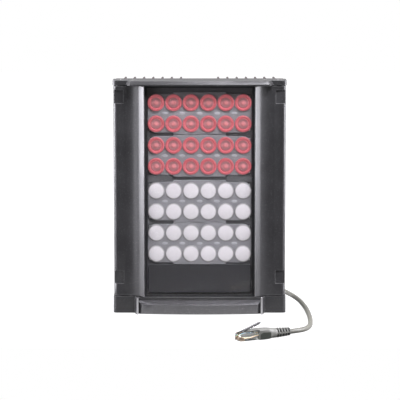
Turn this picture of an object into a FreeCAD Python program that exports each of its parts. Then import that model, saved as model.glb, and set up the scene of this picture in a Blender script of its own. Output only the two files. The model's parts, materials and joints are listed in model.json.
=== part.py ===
import FreeCAD, Part
import math
import os
import Sketcher

# Infrared illuminator: upright finned housing, four lamp modules, tilt bracket and network lead.
# Axes: X to the right, Y to the back, Z up. The front faces -Y and the object stands on Z = 0.
# The letter d in the notes is the depth behind the crests of the two front ridges.

os.makedirs("parts", exist_ok=True)
doc = FreeCAD.newDocument("InfraredIlluminator")
sheet = doc.addObject("Spreadsheet::Sheet", "Sizes")
V = FreeCAD.Vector


# Sizes
class Size:
    """A length that carries its number and its formula in the sheet."""

    def __init__(self, number, formula):
        self.number = number
        self.formula = formula

    def joined(self, other, sign, number):
        return Size(number, f"({self.formula} {sign} {as_size(other).formula})")

    def __add__(self, other):
        return self.joined(other, "+", self.number + as_size(other).number)

    def __sub__(self, other):
        return self.joined(other, "-", self.number - as_size(other).number)

    def __mul__(self, other):
        return self.joined(other, "*", self.number * as_size(other).number)

    def __truediv__(self, other):
        return self.joined(other, "/", self.number / as_size(other).number)

    def __radd__(self, other):
        return as_size(other) + self

    def __rsub__(self, other):
        return as_size(other) - self

    def __rmul__(self, other):
        return as_size(other) * self

    def __neg__(self):
        return Size(-self.number, f"(0 - {self.formula})")


def as_size(value):
    """A plain number as a Size."""
    return value if isinstance(value, Size) else Size(float(value), str(value))


rows = []


def size(word, number, note):
    """One named row of the sheet."""
    rows.append(word)
    sheet.set(f"A{len(rows)}", note)
    sheet.set(f"B{len(rows)}", str(number))
    sheet.setAlias(f"B{len(rows)}", word)
    return Size(float(number), f"Sizes.{word}")


def bind(obj, name, value):
    """Ties one property to the sheet."""
    obj.setExpression(name, as_size(value).formula)


# Overall sizes
wide = size("wide", 180, "width of the housing")
tall = size("tall", 245, "height of the housing")
bow = size("bow", 6, "how far the caps bow forward of the crests")
bow_side = size("bow_side", 1.6, "how far the ends of the bow stand forward")
bow_past = size("bow_past", 10.4, "the top cap's bow ends past the ridges by this much")
bow_slant = size("bow_slant", 3.7, "width of the slanted ends of the top cap")
step_past = size("step_past", 3.6, "the bottom cap's side blocks end past the ridges by this much")
step_slant = size("step_slant", 2.6, "width of the step on the side blocks")
cover_past = size("cover_past", 1.4, "the bottom cover ends past the ridges by this much")
cover_bevel = size("cover_bevel", 3.5, "bevelled ends of the cover")
cover_side = size("cover_side", 2, "how far the cover stands forward at its bevels")
cover_tall = size("cover_tall", 15, "top of the bottom cover")
cover_foot = size("cover_foot", 0.6, "height of the cover's underside")
rim_deep = size("rim_deep", -0.4, "front of the rim above the cover, at its middle")
rim_side = size("rim_side", 3.4, "front of the rim above the cover, at its ends")
reach = size("reach", 122, "depth from the crests to the wall face of the bracket")
fit_gap = size("fit_gap", 0.3, "clearance between parts that slide together")

# Housing shell, in depth and across
shell_deep = size("shell_deep", 38, "crest to the rear face of the shell")
shell_wall = size("shell_wall", 3, "wall of the shell")
wing_deep = size("wing_deep", 10, "how far the wings lie behind the crests")
wing_flat = size("wing_flat", 9, "flat of a wing")
corner_arc = size("corner_arc", 4, "radius of the outer corner")
sweep_run = size("sweep_run", 14.6, "width of the concave sweep from wing to ridge")
crest_drop = size("crest_drop", 5.0, "fall of a ridge to its outer side")
crest_edge = size("crest_edge", 0.7, "blunt inner edge of a ridge")
ridge_wide = size("ridge_wide", 4.9, "width of a ridge")
ledge_run = size("ledge_run", 2.6, "width of the window ledge")
ledge_deep = size("ledge_deep", 7.2, "front of the window ledge")
ledge_thick = size("ledge_thick", 2.4, "thickness of the window ledge")
rail_thick = size("rail_thick", 5, "thickness of a heat rail")
boss_arc = size("boss_arc", 5.2, "radius of a screw channel")
rear_boss_in = size("rear_boss_in", 6.4, "rear screw channels, in from the side")
rear_boss_y = size("rear_boss_y", 31, "rear screw channels, depth")
front_boss_past = size("front_boss_past", 6.1, "front screw channels, out from the ridges")
front_boss_y = size("front_boss_y", 16.5, "front screw channels, depth")
core_hole = size("core_hole", 3.5, "core hole of a housing screw")
core_shank = size("core_shank", 3.4, "shank of a housing screw")

# Heights of the caps and the shell
base_tall = size("base_tall", 17.8, "height of the bottom cap")
lid_thick = size("lid_thick", 5, "thickness of the top cap")
gasket_thick = size("gasket_thick", 1, "thickness of the end gaskets")
overhang = size("overhang", 0.7, "caps stand out past the shell")
recess_wide = size("recess_wide", 10.5, "width of a side recess")
recess_deep = size("recess_deep", 1.6, "depth of a side recess")
recess_tall = size("recess_tall", 14, "height of a side recess")
recess_foot = size("recess_foot", 12.4, "lower recesses, up from the foot of the shell")
recess_head = size("recess_head", 4, "upper recesses, down from the top of the shell")

# Heat sink
sink_thick = size("sink_thick", 5, "base plate of the heat sink")
sink_inset = size("sink_inset", 2, "the heat sink is narrower than the shell by this much a side")
fin_out = size("fin_out", 28, "length of a fin")
fin_margin = size("fin_margin", 9.36, "outer fins, in from the sides of the base plate")
fin_root = size("fin_root", 2.6, "fin thickness at the root")
fin_tip = size("fin_tip", 1.8, "fin thickness at the tip")
rear_screw_end = size("rear_screw_end", 33, "outer rear screws, in from top and foot")
gland_up = size("gland_up", 38, "height of the gland and of the lead's exit")
gland_hole = size("gland_hole", 16.2, "hole for the gland")

# Window and what lies behind it
pane_gap = size("pane_gap", 0.4, "gap beside the window")
pane_deep = size("pane_deep", 3.6, "front of the window")
pane_thick = size("pane_thick", 2.6, "thickness of the window")
seal_thick = size("seal_thick", 1, "thickness of the window seal")
seal_wide = size("seal_wide", 2.4, "width of the window seal, top and foot")
tray_gap = size("tray_gap", 0.9, "gap beside a lens tray")
tray_deep = size("tray_deep", 9, "front of a lens tray")
tray_thick = size("tray_thick", 2, "thickness of a lens tray")
tray_tab = size("tray_tab", 27, "half width of a tray's tabs")
tab_out = size("tab_out", 1.8, "how far a tab stands out")
module_count = size("module_count", 4.99, "window height over the height of a lamp module")
module_head = size("module_head", 0.65, "first module's centre below the window top, in modules")
module_gap = size("module_gap", 4.1, "gap between lens trays")
module_extra = size("module_extra", 3.3, "extra gap between the upper and the lower pair")
lens_share = size("lens_share", 0.94, "lens diameter over the lens pitch")
lens_inset = size("lens_inset", 0.1, "outer lenses, in from the sides of a tray")
row_inset = size("row_inset", 9.2, "lens rows, in from top and foot of a tray")
rim_thick = size("rim_thick", 1.8, "thickness of a lens rim")
rim_wide = size("rim_wide", 1.25, "width of a lens rim")
cone_small = size("cone_small", 7, "lens cone at the lamp")
mask_past = size("mask_past", 0.6, "the mask is wider than the trays by this much")
mask_thick = size("mask_thick", 1.2, "thickness of the mask")
board_thick = size("board_thick", 1.6, "thickness of the boards")
board_deep = size("board_deep", 18, "front of the lamp boards")
chip_wide = size("chip_wide", 3.5, "side of a lamp chip")
chip_thick = size("chip_thick", 0.8, "height of a lamp chip")
carrier_thick = size("carrier_thick", 4, "thickness of the carrier plate")
driver_deep = size("driver_deep", 15.4, "front of the driver board")

# Tilt bracket and its lug
pivot_up = size("pivot_up", 132, "height of the tilt axis")
pivot_deep = size("pivot_deep", 80, "depth of the tilt axis")
lug_half = size("lug_half", 9, "half width of the lug")
lug_arc = size("lug_arc", 11, "radius of the lug's end")
lug_thick = size("lug_thick", 5, "thickness of the lug's foot")
lug_screw_z = size("lug_screw_z", 21, "lug screws, up")
cheek_thick = size("cheek_thick", 3, "thickness of the bracket's cheeks")
bolt_hole = size("bolt_hole", 6.12, "hole for the pivot bolt")
bolt_wide = size("bolt_wide", 6, "diameter of the pivot bolt")
plate_thick = size("plate_thick", 4, "thickness of the wall plate")
plate_half = size("plate_half", 33, "half width of the wall plate")
plate_up = size("plate_up", 45, "half height of the wall plate")
wall_hole = size("wall_hole", 6.5, "wall holes")
wall_gap_x = size("wall_gap_x", 48, "wall holes, across")
wall_gap_z = size("wall_gap_z", 70, "wall holes, up")

# Lead and plug
cord_wide = size("cord_wide", 5, "diameter of the lead")
boot_long = size("boot_long", 34, "length of the plug's boot")
boot_wide = size("boot_wide", 11.4, "width of the boot body")
boot_tall = size("boot_tall", 9, "height of the boot body")
plug_long = size("plug_long", 21.5, "length of the clear plug")
plug_wide = size("plug_wide", 11.7, "width of the clear plug")
plug_tall = size("plug_tall", 7.9, "height of the clear plug")
plug_turn = size("plug_turn", 28, "turn of the plug on the floor, degrees")
doc.recompute()


# Values that follow from the sizes above
def bow_arc(half, rise):
    """Radius of an arc that rises by a given height over a half width."""
    return (half * half + rise * rise) / (rise * 2)


face = (bow - reach) / 2
half_wide = wide / 2
cap_half = half_wide + overhang
wing_out = half_wide - corner_arc
wing_in = wing_out - wing_flat
crest_out = wing_in - sweep_run
crest_in = crest_out - ridge_wide
sweep_arc = bow_arc(sweep_run, wing_deep - crest_drop)
bow_end = crest_out + bow_past
step_end = crest_out + step_past
cover_half = crest_out + cover_past
cover_end = cover_half - cover_bevel
ledge_in = crest_in - ledge_run
pane_half = crest_in - pane_gap
rear_boss_x = half_wide - rear_boss_in
front_boss_x = crest_out + front_boss_past
recess_in = half_wide - recess_wide
sink_wide = wide - sink_inset * 2
sink_back = shell_deep + sink_thick
fin_pitch = (sink_wide / 2 - fin_margin) / 8
shell_low = base_tall + gasket_thick
shell_high = tall - lid_thick - gasket_thick
recess_low = shell_low + recess_foot
recess_high = shell_high - recess_head - recess_tall
rear_screw_heights = [rear_screw_end, tall / 2, tall - rear_screw_end]
pane_low = base_tall + 0.1
pane_high = tall - lid_thick - 0.2
module_tall = (pane_high - pane_low) / module_count
tray_half = ledge_in - tray_gap
tray_tall = module_tall - module_gap
tray_up = tray_tall / 2
row_pitch = tray_tall - row_inset * 2
lens_pitch = (tray_half - lens_inset) * 2 / (lens_share + 5)
lens_wide = lens_pitch * lens_share
cone_wide = lens_wide - rim_wide * 2
lens_back = tray_deep + tray_thick
carrier_deep = board_deep + board_thick
upper_mid = pane_high - module_tall * module_head
lower_mid = upper_mid - module_tall * 2 - module_extra
module_mids = [upper_mid, upper_mid - module_tall, lower_mid, lower_mid - module_tall]
gap_heights = [(module_mids[k] + module_mids[k + 1]) / 2 for k in range(3)]
board_screw_x = tray_half - 3.5
board_screw_z = tray_up - 4.2
panel_top = module_mids[3] - tray_up - tab_out - 0.4
driver_low = shell_low + 7.2
driver_high = panel_top - 2
driver_mid = (driver_low + driver_high) / 2
pillar_x = tray_half - 8
rail_mid = tray_half - 23
lug_foot_half = fin_pitch * 2 - fin_root / 2 - 1.36
lug_screw_x = lug_foot_half - 4.5
pillar_z = (driver_high - driver_low) / 2 - 2.5


# Drawing helpers
def new_body(name, y=0, z=0, x=0):
    """A body of its own, placed by the sheet."""
    body = doc.addObject("PartDesign::Body", name)
    body.Label = name
    bind(body, "Placement.Base.x", x)
    bind(body, "Placement.Base.y", y)
    bind(body, "Placement.Base.z", z)
    return body


def origin(body, role):
    """A plane or an axis of the body's own origin."""
    return next(f for f in body.Origin.OriginFeatures if f.Role == role)


def both_sides(half):
    """A right half outline joined to its mirror image."""
    whole = [tuple(point) for point in half]
    for k in range(len(half) - 1, -1, -1):
        arc = tuple(half[k - 1][2:]) if k else ()
        whole.append((-half[k][0], half[k][1]) + arc)
    return whole


def box(x0, y0, x1, y1):
    """Outline of a rectangle."""
    return [(x0, y0), (x1, y0), (x1, y1), (x0, y1)]


def rounded(half_x, y0, y1, arc):
    """Outline of a centred rectangle with round corners."""
    x = half_x - arc
    half = [(x, y0, arc, 1), (half_x, y0 + arc), (half_x, y1 - arc, arc, 1), (x, y1)]
    return both_sides([tuple(as_size(v) if i < 3 else v for i, v in enumerate(p)) for p in half])


def segment(a, b):
    """A line or an arc from one outline point to the next, and the ends it starts and stops on."""
    p = V(a[0].number, a[1].number, 0)
    q = V(b[0].number, b[1].number, 0)
    if len(a) == 2:
        return Part.LineSegment(p, q), 1, 2
    radius = a[2].number
    chord = q - p
    rise = math.sqrt(max(radius ** 2 - (chord.Length / 2) ** 2, 0))
    side = V(-chord.y, chord.x, 0).normalize() * (rise * a[3])
    mid = (p + q) * 0.5 + side
    first = math.atan2(p.y - mid.y, p.x - mid.x)
    last = math.atan2(q.y - mid.y, q.x - mid.x)
    circle = Part.Circle(mid, V(0, 0, 1), radius)
    if a[3] > 0:
        return Part.ArcOfCircle(circle, first, last), 1, 2
    return Part.ArcOfCircle(circle, last, first), 2, 1


def pin(sketch, held, index, end, x, y):
    """Holds one point of a sketch at the sheet's values."""
    for value, kind, axis in ((x, "DistanceX", -2), (y, "DistanceY", -1)):
        if abs(value.number) < 1e-9:
            held.append((Sketcher.Constraint("PointOnObject", index, end, axis), None))
        else:
            held.append((Sketcher.Constraint(kind, -1, 1, index, end, value.number), value))


def draw(body, name, role, loops, lift=0):
    """A sketch of closed loops on an origin plane. A loop of three values is a circle."""
    sketch = body.newObject("Sketcher::SketchObject", name)
    sketch.AttachmentSupport = [(origin(body, role), "")]
    sketch.MapMode = "FlatFace"
    bind(sketch, "AttachmentOffset.Base.z", lift)
    shapes = []
    held = []
    for loop in loops:
        first = len(shapes)
        if len(loop) == 3 and not isinstance(loop[0], (tuple, list)):
            x, y, radius = (as_size(value) for value in loop)
            shapes.append(Part.Circle(V(x.number, y.number, 0), V(0, 0, 1), radius.number))
            pin(sketch, held, first, 3, x, y)
            held.append((Sketcher.Constraint("Radius", first, radius.number), radius))
            continue
        points = [tuple(as_size(v) if i < 3 else v for i, v in enumerate(p)) for p in loop]
        ends = []
        for k, point in enumerate(points):
            shape, start, stop = segment(point, points[(k + 1) % len(points)])
            shapes.append(shape)
            ends.append((start, stop))
        for k, point in enumerate(points):
            after = (k + 1) % len(points)
            joint = Sketcher.Constraint("Coincident", first + k, ends[k][1], first + after, ends[after][0])
            held.append((joint, None))
            pin(sketch, held, first + k, ends[k][0], point[0], point[1])
            if len(point) > 2:
                held.append((Sketcher.Constraint("Radius", first + k, point[2].number), point[2]))
    sketch.addGeometry(shapes, False)
    sketch.addConstraint([constraint for constraint, value in held])
    for index, (constraint, value) in enumerate(held):
        if value is not None:
            sketch.setExpression(f"Constraints[{index}]", value.formula)
    return sketch


def pad(body, sketch, length, back=False, middle=False):
    """Adds a sketch's depth."""
    feature = body.newObject("PartDesign::Pad", sketch.Name + "_pad")
    feature.Profile = sketch
    bind(feature, "Length", length)
    feature.Reversed = back
    feature.SideType = "Symmetric" if middle else "One side"
    return feature


def cut(body, sketch, length, back=False, middle=False):
    """Cuts a sketch's depth away. Back is the way a pad would go."""
    feature = body.newObject("PartDesign::Pocket", sketch.Name + "_cut")
    feature.Profile = sketch
    bind(feature, "Length", length)
    feature.Reversed = back
    feature.SideType = "Symmetric" if middle else "One side"
    return feature


def turn(body, name, role, profile, axis="V_Axis", shift=(0, 0, 0)):
    """A turned piece: its half profile spun about a sketch axis, which the shift moves."""
    sketch = draw(body, name, role, [profile], shift[2])
    bind(sketch, "AttachmentOffset.Base.x", shift[0])
    bind(sketch, "AttachmentOffset.Base.y", shift[1])
    feature = body.newObject("PartDesign::Revolution", name + "_turn")
    feature.Profile = sketch
    feature.ReferenceAxis = (sketch, [axis])
    feature.Angle = 360
    return feature


def mirror(body, features, role="YZ_Plane"):
    """Mirrored copies of features."""
    feature = body.newObject("PartDesign::Mirrored", body.Name + "_" + role[:2] + "_copy")
    feature.Originals = features
    feature.MirrorPlane = (origin(body, role), [""])
    body.Tip = feature
    return feature


def pattern(body, features, role, step, count, back=False):
    """Copies of features in a straight row."""
    feature = body.newObject("PartDesign::LinearPattern", body.Name + "_row")
    feature.Originals = features
    feature.Direction = (origin(body, role), [""])
    feature.Mode = "Spacing"
    bind(feature, "Offset", step)
    feature.Occurrences = count
    feature.Reversed = back
    body.Tip = feature
    return feature


def edges_where(feature, test):
    """Names of the edges whose middle point passes a test."""
    names = []
    for number, edge in enumerate(feature.Shape.Edges, 1):
        middle = edge.valueAt((edge.FirstParameter + edge.LastParameter) / 2)
        if test(middle, edge):
            names.append(f"Edge{number}")
    return names


def chamfer(body, feature, names, low, high=None, flip=False):
    """Bevels edges by one or two distances."""
    bevel = body.newObject("PartDesign::Chamfer", feature.Name + "_bevel")
    bevel.Base = (feature, names)
    bind(bevel, "Size", low)
    if high is not None:
        bevel.ChamferType = "Two distances"
        bind(bevel, "Size2", high)
        bevel.FlipDirection = flip
    return bevel


def hexagon(x, y, across):
    """Outline of a hexagon, flats up and down."""
    out = across / math.sqrt(3)
    low = out / 2
    flat = across / 2
    return [(x + out, y), (x + low, y + flat), (x - low, y + flat),
            (x - out, y), (x - low, y - flat), (x + low, y - flat)]


# Housing shell
def make_shell():
    """Extruded channel: concave wings, two front ridges, window ledges and screw channels."""
    body = new_body("housing_shell", face, shell_low)
    side_in = half_wide - shell_wall
    rear_in = shell_deep - shell_wall
    outer = [(half_wide - 1, shell_deep, 1, -1), (half_wide, shell_deep - 1),
             (half_wide, wing_deep + corner_arc, corner_arc, -1), (wing_out, wing_deep),
             (wing_in, wing_deep, sweep_arc, 1), (crest_out, crest_drop),
             (crest_in + crest_edge, 0), (crest_in, crest_edge)]
    inner = [(crest_in, ledge_deep), (ledge_in, ledge_deep),
             (ledge_in, ledge_deep + ledge_thick), (crest_out + 1, ledge_deep + ledge_thick),
             (wing_in - sweep_run / 2 + 0.3, wing_deep + 2.2), (wing_in, wing_deep + shell_wall),
             (wing_out - 0.8, wing_deep + shell_wall), (side_in, wing_deep + corner_arc + 0.8),
             (side_in, rear_in)]
    walls = draw(body, "shell_walls", "XY_Plane", [both_sides(outer + inner)])
    last = pad(body, walls, shell_high - shell_low)
    channels = []
    for side in (1, -1):
        channels.append((rear_boss_x * side, rear_boss_y, boss_arc))
        channels.append((front_boss_x * side, front_boss_y, boss_arc))
    pad(body, draw(body, "shell_channels", "XY_Plane", channels), shell_high - shell_low)
    cores = [(x, y, core_hole / 2) for x, y, radius in channels]
    cut(body, draw(body, "shell_cores", "XY_Plane", cores), shell_high - shell_low, back=True)
    rails = [box((rail_mid - rail_thick / 2) * side, rear_in + 0.5,
                 (rail_mid + rail_thick / 2) * side, carrier_deep + carrier_thick) for side in (1, -1)]
    low = 4
    pad(body, draw(body, "shell_rails", "XY_Plane", rails, low), shell_high - shell_low - 8)
    recesses = []
    for side in (1, -1):
        for foot in (recess_low, recess_high):
            start = foot - shell_low
            recesses.append(box(recess_in * side, start, (half_wide + 1) * side, start + recess_tall))
    front = draw(body, "shell_recesses", "XZ_Plane", recesses, -(wing_deep + recess_deep))
    cut(body, front, 6, back=True)
    taps = [(rail_mid * side, z - shell_low, 1.55) for side in (1, -1) for z in gap_heights]
    cut(body, draw(body, "shell_rail_taps", "XZ_Plane", taps, -(carrier_deep + carrier_thick)), 8)
    holes = [(0, gland_up - shell_low, gland_hole / 2)]
    cut(body, draw(body, "shell_gland_hole", "XZ_Plane", holes, -(shell_deep + 1)), 6, back=True)
    screws = [(rear_boss_x * side, z - shell_low, core_hole / 2)
              for side in (1, -1) for z in rear_screw_heights]
    cut(body, draw(body, "shell_rear_holes", "XZ_Plane", screws, -(shell_deep + 1)), 7, back=True)
    return last


def make_heat_sink():
    """Extruded base plate with fourteen tapering fins and a free strip at the middle."""
    body = new_body("heat_sink", face)
    base = [box(-sink_wide / 2, shell_deep, sink_wide / 2, sink_back)]
    pad(body, draw(body, "sink_base", "XY_Plane", base), tall)
    for side in (1, -1):
        mid = fin_pitch * 2 * side
        fin = [(mid - fin_root / 2, sink_back - 0.5), (mid + fin_root / 2, sink_back - 0.5),
               (mid + fin_tip / 2, sink_back + fin_out), (mid - fin_tip / 2, sink_back + fin_out)]
        first = pad(body, draw(body, f"sink_fin_{side + 1}", "XY_Plane", [fin]), tall)
        pattern(body, [first], "X_Axis", fin_pitch, 7, back=side < 0)
    holes = [(rear_boss_x * side, z, 2.1) for side in (1, -1) for z in rear_screw_heights]
    holes.append((0, gland_up, gland_hole / 2))
    front = -(shell_deep - 1)
    last = cut(body, draw(body, "sink_holes", "XZ_Plane", holes, front), sink_thick + 2)
    taps = [(lug_screw_x * sx, pivot_up + lug_screw_z * sz, 1.65) for sx in (1, -1) for sz in (1, -1)]
    last = cut(body, draw(body, "sink_lug_taps", "XZ_Plane", taps, -(sink_back - 4)), 5)
    body.Tip = last


def make_rear_screws():
    """Six pan head screws that hold the heat sink to the shell."""
    body = new_body("rear_screws", face)
    profile = [(0, sink_back - 9.4), (core_shank / 2, sink_back - 9.4), (core_shank / 2, sink_back),
               (3.3, sink_back), (2.9, sink_back + 1.8), (1.6, sink_back + 2.3), (0, sink_back + 2.3)]
    turned = []
    for z in rear_screw_heights:
        name = f"rear_screw_{len(turned)}"
        turned.append(turn(body, name, "XY_Plane", profile, shift=(rear_boss_x, 0, z)))
    mirror(body, turned)


def cap_outline(end, slant):
    """Half outline of a cap: corner, wing, slanted step and bowed front."""
    wing = wing_deep - overhang
    return [(cap_half - 1, shell_deep - 0.1, 1, -1), (cap_half, shell_deep - 1.1),
            (cap_half, wing + corner_arc, corner_arc, -1), (cap_half - corner_arc, wing),
            (end + slant, wing), (end, -bow_side, bow_arc(end, bow - bow_side), -1)]


def cap_blocks(body, start, length, back):
    """Two blocks that centre a cap inside the shell."""
    blocks = [box((crest_in - 21.5) * side, wing_deep + 4.5, (crest_in - 1.5) * side,
                  shell_deep - shell_wall - 2) for side in (1, -1)]
    return pad(body, draw(body, "cap_blocks", "XY_Plane", blocks, start), length, back)


def boss_points():
    """Where the cap screws stand."""
    rear = [(rear_boss_x * side, rear_boss_y) for side in (1, -1)]
    return rear + [(front_boss_x * side, front_boss_y) for side in (1, -1)]


def make_top_cap():
    """Lid with a bowed front whose upper edge is bevelled."""
    body = new_body("top_cap", face, tall - lid_thick)
    plate = pad(body, draw(body, "lid_plate", "XY_Plane", [both_sides(cap_outline(bow_end, bow_slant))]), lid_thick)
    doc.recompute()
    front = edges_where(plate, lambda m, e: m.z > lid_thick.number - 0.01 and m.y < 6)
    chamfer(body, plate, front, 3.4, 2.0, flip=False)
    cap_blocks(body, 0, gasket_thick + 3, True)
    holes = [(x, y, 2.0) for x, y in boss_points()]
    cut(body, draw(body, "lid_holes", "XY_Plane", holes), lid_thick, back=True)
    cone = [(0, lid_thick), (3.7, lid_thick), (2.0, lid_thick - 1.8), (0, lid_thick - 1.8)]
    sinks = []
    for k, (x, y) in enumerate(boss_points()):
        sketch = draw(body, f"lid_sink_{k}", "XZ_Plane", [cone], -y)
        bind(sketch, "AttachmentOffset.Base.x", x)
        groove = body.newObject("PartDesign::Groove", f"lid_sink_{k}_turn")
        groove.Profile = sketch
        groove.ReferenceAxis = (sketch, ["V_Axis"])
        groove.Angle = 360


def make_gasket(name, start):
    """Flat gasket between a cap and the end of the shell."""
    body = new_body(name, face, start)
    half = [(half_wide - 1.4, shell_deep - 0.8), (half_wide - 1.4, wing_deep + 5),
            (wing_out - 0.4, wing_deep + 2), (crest_out - 4, wing_deep + 0.6)]
    loops = [both_sides(half), box(-crest_in, wing_deep + 3.4, crest_in, shell_deep - shell_wall - 1)]
    loops += [(x, y, 1.95) for x, y in boss_points()]
    pad(body, draw(body, name + "_sheet", "XY_Plane", loops), gasket_thick)


def make_top_cap_screws():
    """Four countersunk screws in the lid."""
    body = new_body("top_cap_screws", face, tall)
    shank = core_shank / 2
    profile = [(0, -17), (shank, -17), (shank, -1.85), (3.4, -0.15), (3.4, 0), (0, 0)]
    turned = [turn(body, "lid_screw_a", "XZ_Plane", profile, shift=(rear_boss_x, 0, -rear_boss_y)),
              turn(body, "lid_screw_b", "XZ_Plane", profile, shift=(front_boss_x, 0, -front_boss_y))]
    mirror(body, turned)


def make_bottom_cap():
    """Deep cap with outer blocks, a recess for the cover and a slot for the lens trays."""
    body = new_body("bottom_cap", face)
    pad(body, draw(body, "base_block", "XY_Plane", [both_sides(cap_outline(step_end, step_slant))]), base_tall)
    cap_blocks(body, base_tall, gasket_thick + 3, False)
    mouth = [box(-cover_half - 0.3, -bow - 4, cover_half + 0.3, 4.2)]
    cut(body, draw(body, "base_mouth", "XY_Plane", mouth), cover_tall + 0.5, back=True)
    rim_half = cover_half + 0.3
    rim = [(rim_half, -bow - 4), (rim_half, rim_side, bow_arc(rim_half, rim_side - rim_deep), -1)]
    cut(body, draw(body, "base_rim", "XY_Plane", [both_sides(rim)]), base_tall, back=True)
    flange = [box(3.4 - cover_half, 3, cover_half - 3.4, 21)]
    cut(body, draw(body, "base_flange", "XY_Plane", flange), 3.7, back=True)
    slot = [box(4 - tray_half, 7, tray_half - 4, 17)]
    cut(body, draw(body, "base_slot", "XY_Plane", slot), base_tall, back=True)
    hollow = [box(9.6 - rear_boss_x, 24, rear_boss_x - 9.6, shell_deep - 3.5)]
    cut(body, draw(body, "base_hollow", "XY_Plane", hollow), base_tall - 4, back=True)
    holes = [(x, y, 2.0) for x, y in boss_points()]
    cut(body, draw(body, "base_holes", "XY_Plane", holes), base_tall, back=True)
    wells = [(x, y, 3.8) for x, y in boss_points()]
    cut(body, draw(body, "base_wells", "XY_Plane", wells), 10, back=True)
    taps = [((cover_half - 7.8) * side, 13, 1.55) for side in (1, -1)]
    cut(body, draw(body, "base_cover_taps", "XY_Plane", taps), 12, back=True)


def make_bottom_cap_screws():
    """Four pan head screws in the wells of the bottom cap."""
    body = new_body("bottom_cap_screws", face)
    shank = core_shank / 2
    profile = [(0, 7.6), (2.6, 7.6), (3.4, 8.2), (3.4, 10), (shank, 10), (shank, 29), (0, 29)]
    turned = [turn(body, "base_screw_a", "XZ_Plane", profile, shift=(rear_boss_x, 0, -rear_boss_y)),
              turn(body, "base_screw_b", "XZ_Plane", profile, shift=(front_boss_x, 0, -front_boss_y))]
    mirror(body, turned)


def make_lens_cover():
    """Removable bottom cover: bowed front with a sloped top, and a flange that is screwed from below."""
    body = new_body("lens_cover", face, cover_foot)
    front = [(cover_half, 3.9), (cover_half, cover_bevel - cover_side - 0.3),
             (cover_end, -cover_side, bow_arc(cover_end, bow - cover_side), -1)]
    block = pad(body, draw(body, "cover_front", "XY_Plane", [both_sides(front)]), cover_tall - cover_foot)
    doc.recompute()
    above = (cover_tall - cover_foot).number - 0.1
    top = edges_where(block, lambda m, e: m.z > above and m.y < -3)
    slope = chamfer(body, block, top, 5.4, 4.2, flip=True)
    doc.recompute()
    low = edges_where(slope, lambda m, e: m.z < 0.01 and m.y < -2.4)
    chamfer(body, slope, low, 1.2)
    inside_half = cover_half - 3.8
    inside = [box(-inside_half, 3.4, inside_half, cover_tall - cover_foot - 2.4)]
    cut(body, draw(body, "cover_inside", "XZ_Plane", inside, -0.5), 6)
    pad(body, draw(body, "cover_flange", "XY_Plane", [box(-inside_half, 0.4, inside_half, 20.6)]), 2.8)
    for side in (1, -1):
        cone = [(0, 0), (3.6, 0), (1.9, 1.8), (1.9, 3), (0, 3)]
        sketch = draw(body, f"cover_sink_{side + 1}", "XZ_Plane", [cone], -13)
        bind(sketch, "AttachmentOffset.Base.x", (cover_half - 7.8) * side)
        groove = body.newObject("PartDesign::Groove", f"cover_sink_{side + 1}_turn")
        groove.Profile = sketch
        groove.ReferenceAxis = (sketch, ["V_Axis"])
        groove.Angle = 360


def make_cover_screws():
    """Two countersunk screws that hold the cover."""
    body = new_body("cover_screws", face, cover_foot)
    profile = [(0, 0.15), (3.3, 0.15), (1.5, 2), (1.5, 10.5), (0, 10.5)]
    mirror(body, [turn(body, "cover_screw", "XZ_Plane", profile, shift=(cover_half - 7.8, 0, -13))])


def plate(name, front, thick, loops, z=0):
    """A flat plate that faces forward; its front lies at the given depth."""
    body = new_body(name, face + front + thick, z)
    return body, pad(body, draw(body, name + "_outline", "XZ_Plane", loops), thick)


def make_window():
    """Clear front window and the black seal behind its edge."""
    outline = [box(-pane_half, pane_low, pane_half, pane_high)]
    body, block = plate("front_window", pane_deep, pane_thick, outline)
    doc.recompute()
    rim = edges_where(block, lambda m, e: m.y < 0.01 - pane_thick.number)
    chamfer(body, block, rim, 0.5)
    inner = box(-ledge_in, pane_low + seal_wide, ledge_in, pane_high - seal_wide)
    plate("window_seal", pane_deep + pane_thick, seal_thick, [outline[0], inner])


def make_mask():
    """Dark mask with four openings, six pairs of posts and two raised pads."""
    side_in = tray_half - 1
    up_in = tray_up - 1.8
    openings = [box(-side_in, z - up_in, side_in, z + up_in) for z in module_mids]
    out = tray_half + mask_past
    sheet_edge = box(-out, pane_low + 3.1, out, pane_high - 1.8)
    body, block = plate("bezel_mask", lens_back, mask_thick, [sheet_edge] + openings)
    heights = gap_heights + [module_mids[3] - tray_up - 1.3, module_mids[0] + tray_up + 1.1]
    posts = [((tray_half - 12) * side, z, 2.3) for side in (1, -1) for z in heights]
    pad(body, draw(body, "mask_posts", "XZ_Plane", posts), carrier_deep - lens_back - mask_thick, back=True)
    low = module_mids[2] + tray_up + 0.3
    high = module_mids[1] - tray_up - 0.3
    arc = (high - low) / 2
    pads = []
    for side in (1, -1):
        inner = tray_tab + 1.6
        outer = tray_half - 0.1
        pads.append([((inner + arc) * side, low), (outer * side, low), (outer * side, high),
                     ((inner + arc) * side, high, arc, side), (inner * side, low + arc, arc, side)])
    pad(body, draw(body, "mask_pads", "XZ_Plane", pads, mask_thick), tray_thick)


def make_blank_panel():
    """Plain dark panel in front of the driver board."""
    outline = [rounded(tray_half, shell_low + 2.8, panel_top, 2)]
    body, block = plate("blank_panel", lens_back - 1.6, 1.6, outline)
    doc.recompute()
    rim = edges_where(block, lambda m, e: m.y < -1.59)
    chamfer(body, block, rim, 0.4)


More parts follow.
